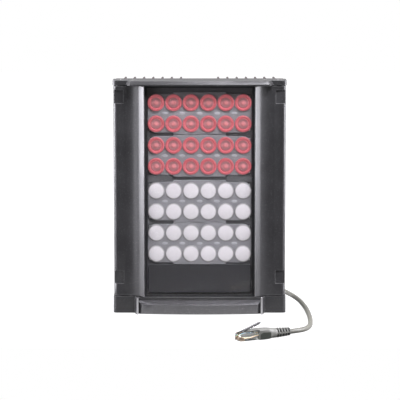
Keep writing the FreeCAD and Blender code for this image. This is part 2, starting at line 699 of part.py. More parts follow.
def make_module(k, mid):
    """One lamp module: tray, twelve lenses, board and twelve chips."""
    arc = lens_wide / 2
    top = tray_up
    half = [(tray_tab, -top - tab_out), (tray_tab + 1, -top), (tray_half - arc, -top, arc, 1),
            (tray_half, -top + arc), (tray_half, top - arc, arc, 1), (tray_half - arc, top),
            (tray_tab + 1, top), (tray_tab, top + tab_out)]
    spots = [((i - 2.5) * lens_pitch, row_pitch / 2 * side) for side in (1, -1) for i in range(6)]
    holes = [(x, z, cone_wide / 2 + 0.15) for x, z in spots]
    plate(f"lens_tray_{k}", tray_deep, tray_thick, [both_sides(half)] + holes, mid)
    body = new_body(f"lenses_{k}", face, mid, lens_pitch * -2.5)
    rim = tray_deep - rim_thick
    profile = [(0, rim), (lens_wide / 2, rim), (lens_wide / 2, tray_deep), (cone_wide / 2, tray_deep),
               (cone_small / 2, board_deep - 1.5), (0, board_deep - 1.5)]
    pair = [turn(body, f"lens_{k}_{side + 1}", "XY_Plane", profile, shift=(0, 0, row_pitch / 2 * side))
            for side in (1, -1)]
    pattern(body, pair, "X_Axis", lens_pitch, 6)
    outline = [box(1 - tray_half, 1.7 - tray_up, tray_half - 1, tray_up - 1.7)]
    outline += [(board_screw_x * sx, board_screw_z * sz, 1.6) for sx in (1, -1) for sz in (1, -1)]
    plate(f"lamp_board_{k}", board_deep, board_thick, outline, mid)
    out = chip_wide / 2
    chips = [box(x - out, z - out, x + out, z + out) for x, z in spots]
    plate(f"lamp_chips_{k}", board_deep - chip_thick, chip_thick, chips, mid)


def make_board_screws():
    """Sixteen small screws that hold the lamp boards."""
    body = new_body("board_screws", face)
    profile = [(0, board_deep - 1.4), (1.9, board_deep - 1.4), (2.5, board_deep - 0.8), (2.5, board_deep),
               (1.25, board_deep), (1.25, carrier_deep + 3.4), (0, carrier_deep + 3.4)]
    turned = []
    for mid in module_mids:
        for side in (1, -1):
            name = f"board_screw_{len(turned)}"
            turned.append(turn(body, name, "XY_Plane", profile,
                               shift=(board_screw_x, 0, mid + board_screw_z * side)))
    mirror(body, turned)


def make_carrier():
    """Carrier plate that the boards stand on, and its six screws."""
    out = tray_half - 1.4
    loops = [box(-out, shell_low + 4, out, shell_high - 4), box(-8, panel_top - 1, 8, panel_top + 2.4)]
    loops += [(rail_mid * side, z, 1.7) for side in (1, -1) for z in gap_heights]
    loops += [(board_screw_x * side, mid + board_screw_z * up, 1.3)
              for side in (1, -1) for mid in module_mids for up in (1, -1)]
    plate("carrier_plate", carrier_deep, carrier_thick, loops)
    body = new_body("carrier_screws", face)
    profile = [(0, carrier_deep - 1.8), (2.1, carrier_deep - 1.8), (2.7, carrier_deep - 1.2),
               (2.7, carrier_deep), (1.5, carrier_deep), (1.5, carrier_deep + 11), (0, carrier_deep + 11)]
    turned = [turn(body, f"carrier_screw_{i}", "XY_Plane", profile, shift=(rail_mid, 0, z))
              for i, z in enumerate(gap_heights)]
    mirror(body, turned)


def make_driver():
    """Driver board behind the blank panel, with its pillars and parts."""
    spots = [(pillar_x * sx, driver_mid + pillar_z * sz) for sx in (1, -1) for sz in (1, -1)]
    holes = [(x, z, 1.6) for x, z in spots]
    edge = box(4 - tray_half, driver_low, tray_half - 4, driver_high)
    plate("driver_board", driver_deep, board_thick, [edge] + holes)
    body = new_body("driver_pillars", face)
    back = driver_deep + board_thick
    profile = [(0, driver_deep - 1.4), (2.4, driver_deep - 1.4), (2.4, driver_deep), (1.5, driver_deep),
               (1.5, back), (2.4, back), (2.4, carrier_deep), (0, carrier_deep)]
    turned = [turn(body, f"pillar_{i}", "XY_Plane", profile, shift=(pillar_x, 0, driver_mid + pillar_z * side))
              for i, side in enumerate((1, -1))]
    mirror(body, turned)
    step = (pillar_x - 8) / 19
    parts = [box(-19 * step, -6, -13 * step, 6), box(-10 * step, -8, -6.5 * step, -3),
             box(-10 * step, 0, -6.5 * step, 5), box(-3 * step, -5, 4 * step, 6)]
    parts += [box(7 * step, low, 9 * step, low + 3) for low in (-8, -2, 4)]
    parts += [(13.5 * step, 0, 4.5), (18 * step, -4.5, 3.4), (18 * step, 4.5, 3)]
    plate("driver_parts", driver_deep - 2.6, 2.6, parts, driver_mid)


def make_gland():
    """Cable gland at the back: body, lock nut, seal ring and dome nut."""
    body = new_body("gland_body", face, gland_up)
    neck = sink_back + 5
    seat = neck + 9
    turn(body, "gland_core", "XY_Plane",
         [(0, shell_deep - 7.5), (8, shell_deep - 7.5), (8, neck), (7, neck), (7, seat), (2.7, seat),
          (2.7, seat - 3), (0, seat - 3)])
    pad(body, draw(body, "gland_hex", "XZ_Plane", [hexagon(0, 0, as_size(20))], -sink_back), 5, back=True)
    ring = new_body("gland_seal", face, gland_up)
    bore = cord_wide / 2
    turn(ring, "seal_ring", "XY_Plane", [(bore, seat), (5.6, seat), (4.7, seat + 6.5), (bore, seat + 6.5)])
    nut = new_body("gland_nut", face, gland_up)
    turn(nut, "dome", "XY_Plane",
         [(7.1, neck + 0.3), (9, neck + 0.3), (9, seat + 2), (8.2, seat + 6.6), (6.6, seat + 9),
          (3, seat + 9), (3, seat + 6.8), (5, seat + 6.8), (6, seat + 0.2), (7.1, seat + 0.2)])
    loops = [hexagon(0, 0, as_size(19)), (0, 0, 8)]
    pad(nut, draw(nut, "dome_hex", "XZ_Plane", loops, -neck - 0.3), 9, back=True)
    lock = new_body("gland_lock_nut", face, gland_up)
    loops = [hexagon(0, 0, as_size(20)), (0, 0, 8.04)]
    pad(lock, draw(lock, "lock_hex", "XZ_Plane", loops, -(shell_deep - shell_wall)), 4)


def make_pivot_lug():
    """Lug screwed to the middle of the heat sink; the bracket turns on it."""
    body = new_body("pivot_lug", face, pivot_up)
    corners = [(lug_screw_x * sx, lug_screw_z * sz, 2.15) for sx in (1, -1) for sz in (1, -1)]
    edge = rounded(lug_foot_half, -lug_screw_z - 7, lug_screw_z + 7, 3)
    foot = draw(body, "lug_foot", "XZ_Plane", [edge] + corners, -(sink_back + lug_thick))
    pad(body, foot, lug_thick)
    tongue = [(sink_back + 4.5, -15), (sink_back + 9, -lug_arc), (pivot_deep, -lug_arc, lug_arc, 1),
              (pivot_deep + lug_arc, 0, lug_arc, 1), (pivot_deep, lug_arc), (sink_back + 9, lug_arc), (sink_back + 4.5, 15)]
    pad(body, draw(body, "lug_tongue", "YZ_Plane", [tongue]), lug_half * 2, middle=True)
    eye = draw(body, "lug_eye", "YZ_Plane", [(pivot_deep, 0, bolt_hole / 2)])
    cut(body, eye, lug_half * 2 + 2, middle=True)
    screws = new_body("lug_screws", face, pivot_up)
    seat = sink_back + lug_thick
    profile = [(0, seat - 8.4), (1.6, seat - 8.4), (1.6, seat), (3.4, seat), (3, seat + 1.8), (1.6, seat + 2.4),
               (0, seat + 2.4)]
    turned = [turn(screws, f"lug_screw_{i}", "XY_Plane", profile, shift=(lug_screw_x, 0, lug_screw_z * side))
              for i, side in enumerate((1, -1))]
    mirror(screws, turned)


def make_bracket():
    """Welded tilt bracket: two cheeks on a wall plate."""
    body = new_body("tilt_bracket", face, pivot_up)
    holes = [(wall_gap_x / 2 * sx, wall_gap_z / 2 * sz, wall_hole / 2) for sx in (1, -1) for sz in (1, -1)]
    outline = [rounded(plate_half, -plate_up, plate_up, 6)] + holes
    pad(body, draw(body, "wall_plate", "XZ_Plane", outline, -reach), plate_thick)
    back = reach - plate_thick + 0.5
    arc = lug_arc + 1
    cheek = [(back, -22), (back, 22), (pivot_deep + 14, arc), (pivot_deep, arc, arc, 1),
             (pivot_deep - arc, 0, arc, 1), (pivot_deep, -arc), (pivot_deep + 14, -arc)]
    eye = (pivot_deep, 0, bolt_hole / 2)
    inner = lug_half + fit_gap
    for side, start in ((1, inner), (0, -inner - cheek_thick)):
        pad(body, draw(body, f"cheek_{side}", "YZ_Plane", [cheek, eye], start), cheek_thick)


def make_pivot():
    """Pivot bolt through lug and cheeks, with washers and a nut."""
    outer = lug_half + fit_gap + cheek_thick
    seat = outer + 1.2
    bolt = new_body("pivot_bolt", face + pivot_deep, pivot_up)
    radius = bolt_wide / 2
    turn(bolt, "bolt_shank", "XY_Plane", [(-seat - 6.6, 0), (seat, 0), (seat, radius), (-seat - 5.8, radius),
                                          (-seat - 6.6, radius - 0.8)], axis="H_Axis")
    pad(bolt, draw(bolt, "bolt_head", "YZ_Plane", [hexagon(0, 0, as_size(10))], seat), 4.2)
    washers = new_body("pivot_washers", face + pivot_deep, pivot_up)
    rings = [(0, 0, 6), (0, 0, 3.1)]
    mirror(washers, [pad(washers, draw(washers, "washer", "YZ_Plane", rings, outer), 1.2)])
    nut = new_body("pivot_nut", face + pivot_deep, pivot_up)
    loops = [hexagon(0, 0, as_size(10)), (0, 0, 3.02)]
    pad(nut, draw(nut, "nut_hex", "YZ_Plane", loops, -seat), 5, back=True)


# Lead: settled points of its middle line, in millimetres from the front crests, right, back and up
LEAD = [(0, 54, 38), (0, 81, 38), (15, 105, 33), (48, 115, 23), (83, 101, 12.5), (104.5, 71, 6.4),
        (111.8, 34, 3.2), (114, -8, 2.6), (114, -50, 2.6), (111, -89, 2.8), (100, -117.2, 4.6),
        (81, -127.3, 4.6)]


def make_lead():
    """Network lead as straight runs joined by tangent arcs."""
    points = [V(x, y + face.number, z) for x, y, z in LEAD]
    edges = []
    start = points[0]
    for before, corner, after in zip(points, points[1:], points[2:]):
        back = before - corner
        ahead = after - corner
        half_turn = (math.pi - back.getAngle(ahead)) / 2
        trim = 0.45 * min(back.Length, ahead.Length)
        radius = trim / math.tan(half_turn)
        print("lead bend, turn", round(math.degrees(half_turn * 2)), "radius", round(radius, 1))
        back.normalize()
        ahead.normalize()
        first = corner + back * trim
        last = corner + ahead * trim
        bisector = (back + ahead).normalize()
        centre = corner + bisector * (radius / math.cos(half_turn))
        edges.append(Part.LineSegment(start, first).toShape())
        edges.append(Part.Arc(first, centre - bisector * radius, last).toShape())
        start = last
    edges.append(Part.LineSegment(start, points[-1]).toShape())
    spine = Part.Wire(edges)
    section = Part.Wire(Part.makeCircle(sheet.cord_wide / 2, points[0], points[1] - points[0]))
    tube = spine.makePipeShell([section], True, True)
    lead = doc.addObject("Part::Feature", "network_lead")
    lead.Label = "network_lead"
    lead.Shape = tube
    lead.Placement = FreeCAD.Placement()
    area = math.pi * (sheet.cord_wide / 2) ** 2
    print("lead length", round(spine.Length, 1), "volume share", round(tube.Volume / (area * spine.Length), 4))


def plug_part(name):
    """A body on the end of the lead, turned with the plug."""
    x, y, z = LEAD[-1]
    body = new_body(name, face + y, z, x)
    body.Placement.Rotation = FreeCAD.Rotation(V(0, 0, 1), plug_turn.number)
    bind(body, "Placement.Rotation.Angle", plug_turn)
    return body


def make_plug():
    """Clear plug with latch and gold contacts, and its ribbed boot."""
    mouth = 6
    nose = boot_long - mouth
    boot = plug_part("plug_boot")
    ribs = [(mouth, 2.6), (mouth, 3.5)]
    for k in range(3):
        x = mouth - 2.4 - 3.2 * k
        ribs += [(x, 3.6 + 0.15 * k), (x, 2.95), (x - 1.4, 2.95), (x - 1.4, 3.7 + 0.15 * k)]
    ribs += [(-7, 4.3), (-15, 4.3), (-15, 0), (0, 0), (0, 2.6)]
    turn(boot, "boot_relief", "XY_Plane", ribs, axis="H_Axis")
    shell = [rounded(boot_wide / 2, -boot_tall / 2, boot_tall / 2, 1.5)]
    block = pad(boot, draw(boot, "boot_block", "YZ_Plane", shell, -nose), nose - 13)
    plug = plug_part("plug_body")
    side = [(-nose, -plug_tall / 2), (-nose, plug_tall / 2), (-nose - 5, plug_tall / 2),
            (-nose - 6, plug_tall / 2 - 0.8), (-nose - plug_long + 4, plug_tall / 2 - 0.8),
            (-nose - plug_long + 2.4, plug_tall / 2), (-nose - plug_long, plug_tall / 2 - 1),
            (-nose - plug_long, -plug_tall / 2)]
    pad(plug, draw(plug, "plug_side", "XZ_Plane", [side]), plug_wide, middle=True)
    latch = [(-nose - plug_long + 1.4, plug_tall / 2 - 1), (-nose - plug_long + 4.2, plug_tall / 2 - 1),
             (-nose - 5, plug_tall / 2 + 2.6), (-nose - 2, plug_tall / 2 + 3.2),
             (-nose - 2, plug_tall / 2 + 4.2), (-nose - 5.4, plug_tall / 2 + 3.7)]
    pad(plug, draw(plug, "plug_latch", "XZ_Plane", [latch]), 6, middle=True)
    ways = [(k - 3.5) * 1.02 for k in range(8)]
    front = -nose - plug_long
    slots = [box(front - 1, y - 0.25, front + 5, y + 0.25) for y in ways]
    cut(plug, draw(plug, "plug_slots", "XY_Plane", slots, -plug_tall / 2), 3, back=True)
    blades = plug_part("plug_contacts")
    strips = [box(front + 0.3, y - 0.2, front + 5, y + 0.2) for y in ways]
    pad(blades, draw(blades, "contact_strips", "XY_Plane", strips, -plug_tall / 2 + 0.6), 2.4)


# Build every sub-part
make_shell()
make_heat_sink()
make_rear_screws()
make_top_cap()
make_gasket("top_gasket", shell_high)
make_top_cap_screws()
make_bottom_cap()
make_gasket("bottom_gasket", base_tall)
make_bottom_cap_screws()
make_lens_cover()
make_cover_screws()
make_window()
make_mask()
make_blank_panel()
for number, middle_height in enumerate(module_mids, 1):
    make_module(number, middle_height)
make_board_screws()
make_carrier()
make_driver()
make_gland()
make_pivot_lug()
make_bracket()
make_pivot()
make_lead()
make_plug()
doc.recompute()

# Check every object, then write the parts
for obj in doc.Objects:
    if "Invalid" in obj.State or "Error" in obj.State:
        raise RuntimeError(f"{obj.Name} did not build: {obj.State}")
for obj in doc.Objects:
    if obj.TypeId not in ("PartDesign::Body", "Part::Feature"):
        continue
    if obj.Shape.isNull() or not obj.Shape.isValid():
        raise RuntimeError(f"{obj.Label} has no sound shape")
    bounds = obj.Shape.BoundBox
    print(obj.Label, len(obj.Shape.Solids), "solids", round(obj.Shape.Volume), "mm3",
          [round(v, 1) for v in (bounds.XMin, bounds.YMin, bounds.ZMin, bounds.XMax, bounds.YMax, bounds.ZMax)])
    obj.Shape.exportStep(f"parts/{obj.Label}.step")
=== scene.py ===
# %% [markdown]
# # An infrared illuminator, dressed step by step
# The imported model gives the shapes, all in metres: X to the right, Y to the back, Z up.
# Each cell below adds one finish or one piece, and says first what it is on the real object.

# %% Load the frame
import json
import math
import bmesh
import bpy
from mathutils import Matrix, Vector


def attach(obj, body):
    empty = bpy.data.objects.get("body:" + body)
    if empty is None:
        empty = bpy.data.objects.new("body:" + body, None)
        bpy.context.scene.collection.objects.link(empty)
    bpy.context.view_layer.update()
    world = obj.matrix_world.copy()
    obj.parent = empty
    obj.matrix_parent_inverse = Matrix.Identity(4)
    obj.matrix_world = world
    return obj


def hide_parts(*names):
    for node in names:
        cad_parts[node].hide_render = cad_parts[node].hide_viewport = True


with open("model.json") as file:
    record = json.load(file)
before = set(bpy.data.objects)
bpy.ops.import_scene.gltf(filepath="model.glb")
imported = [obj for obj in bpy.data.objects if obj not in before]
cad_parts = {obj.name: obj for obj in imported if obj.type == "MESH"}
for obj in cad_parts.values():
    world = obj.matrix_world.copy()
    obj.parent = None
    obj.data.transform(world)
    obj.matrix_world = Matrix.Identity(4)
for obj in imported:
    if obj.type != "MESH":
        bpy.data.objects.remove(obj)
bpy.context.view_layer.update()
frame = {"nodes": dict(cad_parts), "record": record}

# %% [markdown]
# ## Camera
# The object is seen straight from the front and a little from above, from a good two metres
# away, so its sides stay almost parallel. A long lens gives that; moving a short lens nearer
# would make the top cap look wider than the foot.

# %% Camera
FACE = -0.058          # the front crests of the housing lie at this Y


def aimed(thing, place, target):
    """Puts a camera or a lamp at a place and turns it to a target."""
    thing.location = place
    thing.rotation_euler = (Vector(target) - Vector(place)).to_track_quat("-Z", "Y").to_euler()
    bpy.context.scene.collection.objects.link(thing)


lens_data = bpy.data.cameras.new("long_lens")
lens_data.sensor_width = 36
lens_data.lens = 189.9
lens_data.clip_end = 50
camera = bpy.data.objects.new("camera", lens_data)
aimed(camera, (0.0, FACE - 2.1836, 0.3901), (0.0004, FACE, 0.1209))
bpy.context.scene.camera = camera
print("camera at", [round(v, 3) for v in camera.location])

# %% [markdown]
# ## Network lead
# The lead is a plain grey cable, 5 mm thick. It leaves the gland at the back, sinks to the
# floor beside the housing and comes round to the front. A NURBS curve through a few settled
# points gives the smooth line of a real cable; its round section is the curve's own bevel.

# %% Network lead
LEAD = [(0, 54, 38), (0, 81, 38), (15, 105, 33), (48, 115, 23), (83, 101, 12.5), (104.5, 71, 6.4),
        (111.8, 34, 3.2), (114, -8, 2.6), (114, -50, 2.6), (111, -89, 2.8), (100, -117.2, 4.6),
        (81, -127.3, 4.6)]
LEAD_WIDE = 0.005


def cable(name, points, wide):
    """A round cable whose middle line is led by a few points. A bevel of 1 m is scaled by each
    point's radius, so the curve's own box is as tight as the cable."""
    curve = bpy.data.curves.new(name, "CURVE")
    curve.dimensions = "3D"
    curve.bevel_depth = 1.0
    curve.bevel_resolution = 6
    curve.use_fill_caps = True
    line = curve.splines.new("NURBS")
    line.points.add(len(points) - 1)
    for point, (x, y, z) in zip(line.points, points):
        point.co = (x, y, z, 1)
        point.radius = wide / 2
    line.order_u = 3
    line.use_endpoint_u = True
    line.resolution_u = 24
    piece = bpy.data.objects.new(name, curve)
    bpy.context.scene.collection.objects.link(piece)
    return piece


lead = cable("lead_cable", [(x / 1000, y / 1000 + FACE, z / 1000) for x, y, z in LEAD], LEAD_WIDE)
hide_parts("network_lead")
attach(lead, "housing")
print("lead led by", len(LEAD), "points")

# %% [markdown]
# ## Light and floor
# A plain studio: two tall softboxes beside the object catch the steep ridges, others hang above
# for the bevels of the caps. The white ground comes from the world, which only rays from the
# camera and mirror rays see at full strength, so the coat itself isn't over-lit. Mirror rays
# that go to the front meet the dim room behind the camera, as in a real studio, and that keeps
# the flat wings and the window dark.

# %% Light and floor
scene = bpy.context.scene
scene.view_settings.view_transform = "Standard"


class Net:
    """Adds nodes to a tree. Inputs that are sockets are joined, the others are set."""

    def __init__(self, tree):
        self.tree = tree

    def add(self, kind, inputs=None, **settings):
        node = self.tree.nodes.new(kind)
        for name, value in settings.items():
            setattr(node, name, value)
        for name, value in (inputs or {}).items():
            if isinstance(value, bpy.types.NodeSocket):
                self.tree.links.new(value, node.inputs[name])
            else:
                node.inputs[name].default_value = value
        return node

    def math(self, operation, a, b=0.0, clamp=False):
        node = self.add("ShaderNodeMath", {0: a, 1: b}, operation=operation, use_clamp=clamp)
        return node.outputs[0]

    def mix(self, factor, a, b):
        node = self.add("ShaderNodeMix", data_type="RGBA")
        for index, value in ((0, factor), (6, a), (7, b)):
            if isinstance(value, bpy.types.NodeSocket):
                self.tree.links.new(value, node.inputs[index])
            else:
                node.inputs[index].default_value = value
        return node.outputs[2]


def grey(value, tint=(1, 1, 1)):
    """A colour of one level, with a slight tint."""
    return (value * tint[0], value * tint[1], value * tint[2], 1)


def straight_sight(net, path):
    """1 for what the camera sees straight or through clear pieces, 0 for all that is mirrored or lit."""
    bounced = net.math("ADD", path.outputs["Glossy Depth"], path.outputs["Diffuse Depth"])
    clear = net.math("MULTIPLY", path.outputs["Is Transmission Ray"], net.math("LESS_THAN", bounced, 0.5))
    return net.math("MAXIMUM", path.outputs["Is Camera Ray"], clear)


world = bpy.data.worlds.new("studio")
scene.world = world
world.use_nodes = True
world.node_tree.nodes.clear()
net = Net(world.node_tree)
path = net.add("ShaderNodeLightPath")
direct = straight_sight(net, path)
seen = net.math("MAXIMUM", path.outputs["Is Camera Ray"], path.outputs["Is Transmission Ray"])
seen = net.math("MAXIMUM", seen, path.outputs["Is Glossy Ray"])
towards = net.add("ShaderNodeSeparateXYZ", {0: net.add("ShaderNodeTexCoord").outputs["Generated"]})
backdrop = net.add("ShaderNodeMapRange", {"Value": towards.outputs["Y"], "From Min": -0.75, "From Max": 0.05,
                                          "To Min": 0.10, "To Max": 0.55}, interpolation_type="SMOOTHSTEP")
overhead = net.add("ShaderNodeMapRange", {"Value": towards.outputs["Z"], "From Min": 0.75, "From Max": 0.95,
                                          "To Min": 1.0, "To Max": 0.2}, interpolation_type="SMOOTHSTEP")
mirror_level = net.math("MAXIMUM", net.math("MULTIPLY", backdrop.outputs[0], overhead.outputs[0]), direct)
dim = net.add("ShaderNodeBackground", {"Color": grey(1), "Strength": 0.30})
white = net.add("ShaderNodeBackground", {"Color": grey(1), "Strength": mirror_level})
both = net.add("ShaderNodeMixShader", {0: seen, 1: dim.outputs[0], 2: white.outputs[0]})
net.add("ShaderNodeOutputWorld", {"Surface": both.outputs[0]})

SOFTBOXES = [
    ("softbox_left", (-0.85, 0.02, 0.32), (0.45, 0.64), 20),
    ("softbox_right", (0.85, 0.02, 0.32), (0.45, 0.64), 14),
    ("softbox_front_left", (-0.95, -0.75, -0.02), (0.3, 0.7), 4.2),
    ("softbox_front_right", (0.95, -0.75, -0.02), (0.3, 0.7), 0.6),
    ("softbox_above_left", (-0.27, 0.14, 1.30), (0.26, 0.5), 9),
    ("softbox_above_right", (0.27, 0.14, 1.30), (0.26, 0.5), 9),
    ("softbox_high_front", (0.50, -1.0, 1.50), (1.0, 0.3), 44),
]
for name, place, (across, up), watts in SOFTBOXES:
    lamp = bpy.data.lights.new(name, "AREA")
    lamp.shape = "RECTANGLE"
    lamp.size = across
    lamp.size_y = up
    lamp.energy = watts
    lamp.color = (0.94, 0.93, 1.0)
    aimed(bpy.data.objects.new(name, lamp), place, (0, 0, 0.12))

floor_data = bpy.data.meshes.new("floor")
floor_data.from_pydata([(-3, -0.24, 0), (3, -0.24, 0), (3, 4, 0), (-3, 4, 0)], [], [(0, 1, 2, 3)])
floor = bpy.data.objects.new("floor", floor_data)
scene.collection.objects.link(floor)
paper = bpy.data.materials.new("white_paper")
paper.use_nodes = True
paper.node_tree.nodes.clear()
net = Net(paper.node_tree)
path = net.add("ShaderNodeLightPath")
matt = net.add("ShaderNodeBsdfDiffuse", {"Color": grey(0.16)})
away = net.add("ShaderNodeVectorMath", {0: net.add("ShaderNodeNewGeometry").outputs["Position"]}, operation="LENGTH")
white_level = net.add("ShaderNodeMapRange", {"Value": away.outputs["Value"], "From Min": 0.3, "From Max": 1.6,
                                             "To Min": 0.93, "To Max": 1.0})
direct = net.math("MULTIPLY", straight_sight(net, path), white_level.outputs[0])
place = net.add("ShaderNodeSeparateXYZ", {0: net.add("ShaderNodeNewGeometry").outputs["Position"]})
mirrored = net.add("ShaderNodeMapRange", {"Value": place.outputs["Y"], "From Min": -0.19, "From Max": -0.14,
                                          "To Min": 0.11, "To Max": 1.0})
shine = net.add("ShaderNodeEmission", {"Color": grey(1), "Strength": direct})
lit = net.add("ShaderNodeAddShader", {0: matt.outputs[0], 1: shine.outputs[0]})
image = net.add("ShaderNodeEmission", {"Color": grey(1), "Strength": mirrored.outputs[0]})
both = net.add("ShaderNodeMixShader", {0: path.outputs["Is Glossy Ray"], 1: lit.outputs[0], 2: image.outputs[0]})
net.add("ShaderNodeOutputMaterial", {"Surface": both.outputs[0]})
floor.data.materials.append(paper)
print(len(SOFTBOXES), "softboxes and a white floor")

# %% [markdown]
# ## Effects that several finishes share
# Powder coat, worn edges with a painted highlight, dust and moulded plastic come back all over
# the object. Each is a node group with its own inputs, made once, so one change shows on every
# piece. Painting them by hand would need a picture for each part.


# %% Node group helper
def new_group(title, inputs, outputs):
    """An empty shader group with named sockets."""
    group = bpy.data.node_groups.new(title, "ShaderNodeTree")
    for name, kind, value in inputs:
        socket = group.interface.new_socket(name, in_out="INPUT", socket_type="NodeSocket" + kind)
        socket.default_value = value
    for name, kind in outputs:
        group.interface.new_socket(name, in_out="OUTPUT", socket_type="NodeSocket" + kind)
    inside = Net(group)
    return group, inside, inside.add("NodeGroupInput").outputs


def finish_group(inside, results):
    """Joins a group's results to its outputs."""
    end = inside.add("NodeGroupOutput")
    for name, socket in results.items():
        inside.tree.links.new(socket, end.inputs[name])


# %% Powder coat group
powder_coat, g, given = new_group(
    "powder_coat",
    [("Colour", "Color", grey(0.04)), ("Fleck", "Color", grey(0.1)), ("Grain", "Float", 1100.0),
     ("Roughness", "Float", 0.45)],
    [("Colour", "Color"), ("Roughness", "Float"), ("Height", "Float")])
place = g.add("ShaderNodeTexCoord").outputs["Object"]
fine = g.add("ShaderNodeTexNoise", {"Vector": place, "Scale": given["Grain"], "Detail": 3.0, "Roughness": 0.6})
cloud = g.add("ShaderNodeTexNoise", {"Vector": place, "Scale": 38.0, "Detail": 2.0})
fleck_mask = g.add("ShaderNodeMapRange", {"Value": fine.outputs["Fac"], "From Min": 0.56, "From Max": 0.78})
broad = g.add("ShaderNodeMapRange", {"Value": cloud.outputs["Fac"], "From Min": 0.3, "From Max": 0.7,
                                     "To Min": 0.0, "To Max": 0.3})
tone = g.mix(fleck_mask.outputs[0], given["Colour"], given["Fleck"])
tone = g.mix(g.math("MULTIPLY", broad.outputs[0], 0.5), tone, given["Fleck"])
rough = g.math("ADD", given["Roughness"], g.math("MULTIPLY", g.math("SUBTRACT", cloud.outputs["Fac"], 0.5), 0.18))
finish_group(g, {"Colour": tone, "Roughness": rough, "Height": fine.outputs["Fac"]})

# %% Edge wear and painted highlight group
# Lighter colour along sharp edges: partly real wear, partly a painted highlight where an edge catches light.
edge_wear_and_highlight, g, given = new_group(
    "edge_wear_and_highlight", [("Width", "Float", 0.0008), ("Amount", "Float", 0.6)], [("Mask", "Float")])
flat = g.add("ShaderNodeNewGeometry").outputs["Normal"]
rounded = g.add("ShaderNodeBevel", {"Radius": given["Width"]}, samples=6).outputs["Normal"]
bent = g.add("ShaderNodeVectorMath", {0: flat, 1: rounded}, operation="DOT_PRODUCT").outputs["Value"]
edge = g.add("ShaderNodeMapRange", {"Value": bent, "From Min": 0.995, "From Max": 0.84})
place = g.add("ShaderNodeTexCoord").outputs["Object"]
rub = g.add("ShaderNodeTexNoise", {"Vector": place, "Scale": 160.0, "Detail": 3.0})
patchy = g.add("ShaderNodeMapRange", {"Value": rub.outputs["Fac"], "From Min": 0.35, "From Max": 0.65,
                                      "To Min": 0.35, "To Max": 1.0})
mask = g.math("MULTIPLY", g.math("MULTIPLY", edge.outputs[0], patchy.outputs[0]), given["Amount"], clamp=True)
finish_group(g, {"Mask": mask})

# %% Settled dust group
settled_dust, g, given = new_group("settled_dust", [("Amount", "Float", 0.2)], [("Mask", "Float")])
normal = g.add("ShaderNodeNewGeometry").outputs["Normal"]
up = g.add("ShaderNodeSeparateXYZ", {0: normal}).outputs["Z"]
lies = g.add("ShaderNodeMapRange", {"Value": up, "From Min": 0.35, "From Max": 1.0}).outputs[0]
place = g.add("ShaderNodeTexCoord").outputs["Object"]
drift = g.add("ShaderNodeTexNoise", {"Vector": place, "Scale": 90.0, "Detail": 5.0, "Roughness": 0.7})
mask = g.math("MULTIPLY", g.math("MULTIPLY", lies, drift.outputs["Fac"]), given["Amount"], clamp=True)
finish_group(g, {"Mask": mask})

# %% Moulded plastic group
moulded, g, given = new_group(
    "moulded", [("Colour", "Color", grey(0.3)), ("Roughness", "Float", 0.4), ("Grain", "Float", 700.0)],
    [("Colour", "Color"), ("Roughness", "Float"), ("Height", "Float")])
place = g.add("ShaderNodeTexCoord").outputs["Object"]
flow = g.add("ShaderNodeTexNoise", {"Vector": place, "Scale": 55.0, "Detail": 3.0, "Distortion": 0.6})
fine = g.add("ShaderNodeTexNoise", {"Vector": place, "Scale": given["Grain"], "Detail": 2.0})
shade = g.math("ADD", 0.9, g.math("MULTIPLY", flow.outputs["Fac"], 0.2))
tone = g.add("ShaderNodeVectorMath", {0: given["Colour"], 1: shade}, operation="MULTIPLY")
rough = g.math("ADD", given["Roughness"], g.math("MULTIPLY", g.math("SUBTRACT", flow.outputs["Fac"], 0.5), 0.16))
finish_group(g, {"Colour": tone.outputs[0], "Roughness": rough, "Height": fine.outputs["Fac"]})

# %% Drawn metal group
drawn, g, given = new_group(
    "drawn", [("Colour", "Color", grey(0.5)), ("Stretch", "Vector", (900.0, 900.0, 12.0)),
              ("Roughness", "Float", 0.35)],
    [("Colour", "Color"), ("Roughness", "Float"), ("Height", "Float")])
place = g.add("ShaderNodeTexCoord").outputs["Object"]
pulled = g.add("ShaderNodeVectorMath", {0: place, 1: given["Stretch"]}, operation="MULTIPLY").outputs[0]
lines = g.add("ShaderNodeTexNoise", {"Vector": pulled, "Scale": 1.0, "Detail": 4.0}).outputs["Fac"]
shade = g.math("ADD", 0.8, g.math("MULTIPLY", lines, 0.4))
tone = g.add("ShaderNodeVectorMath", {0: given["Colour"], 1: shade}, operation="MULTIPLY")
rough = g.math("ADD", given["Roughness"], g.math("MULTIPLY", g.math("SUBTRACT", lines, 0.5), 0.25))
finish_group(g, {"Colour": tone.outputs[0], "Roughness": rough, "Height": lines})
print("node groups:", [group.name for group in bpy.data.node_groups])

# %% [markdown]
# ## Finishes
# The housing is aluminium under a dark grey powder coat: a satin skin with a very fine grain,
# lighter at its edges, partly from wear and partly as a painted highlight. The same builder
# makes every coated and every plastic finish, because they differ only in colour, gloss and grain.


# %% Finish builders
def finish(name):
    """A material with one Principled shader, whose plain values are set on its own sockets."""
    material = bpy.data.materials.new(name)
    material.use_nodes = True
    net = Net(material.node_tree)
    return material, net, material.node_tree.nodes["Principled BSDF"]


def set_group(net, group, inputs):
    """One of the shared effects, with this finish's own values."""
    node = net.add("ShaderNodeGroup", node_tree=group)
    for name, value in inputs.items():
        if isinstance(value, bpy.types.NodeSocket):
            net.tree.links.new(value, node.inputs[name])
        else:
            node.inputs[name].default_value = value
    return node


def bump(net, shader, height, strength, distance):
    """Feeds a height to the shader's normal."""
    relief = net.add("ShaderNodeBump", {"Height": height, "Strength": strength, "Distance": distance})
    net.tree.links.new(relief.outputs[0], shader.inputs["Normal"])


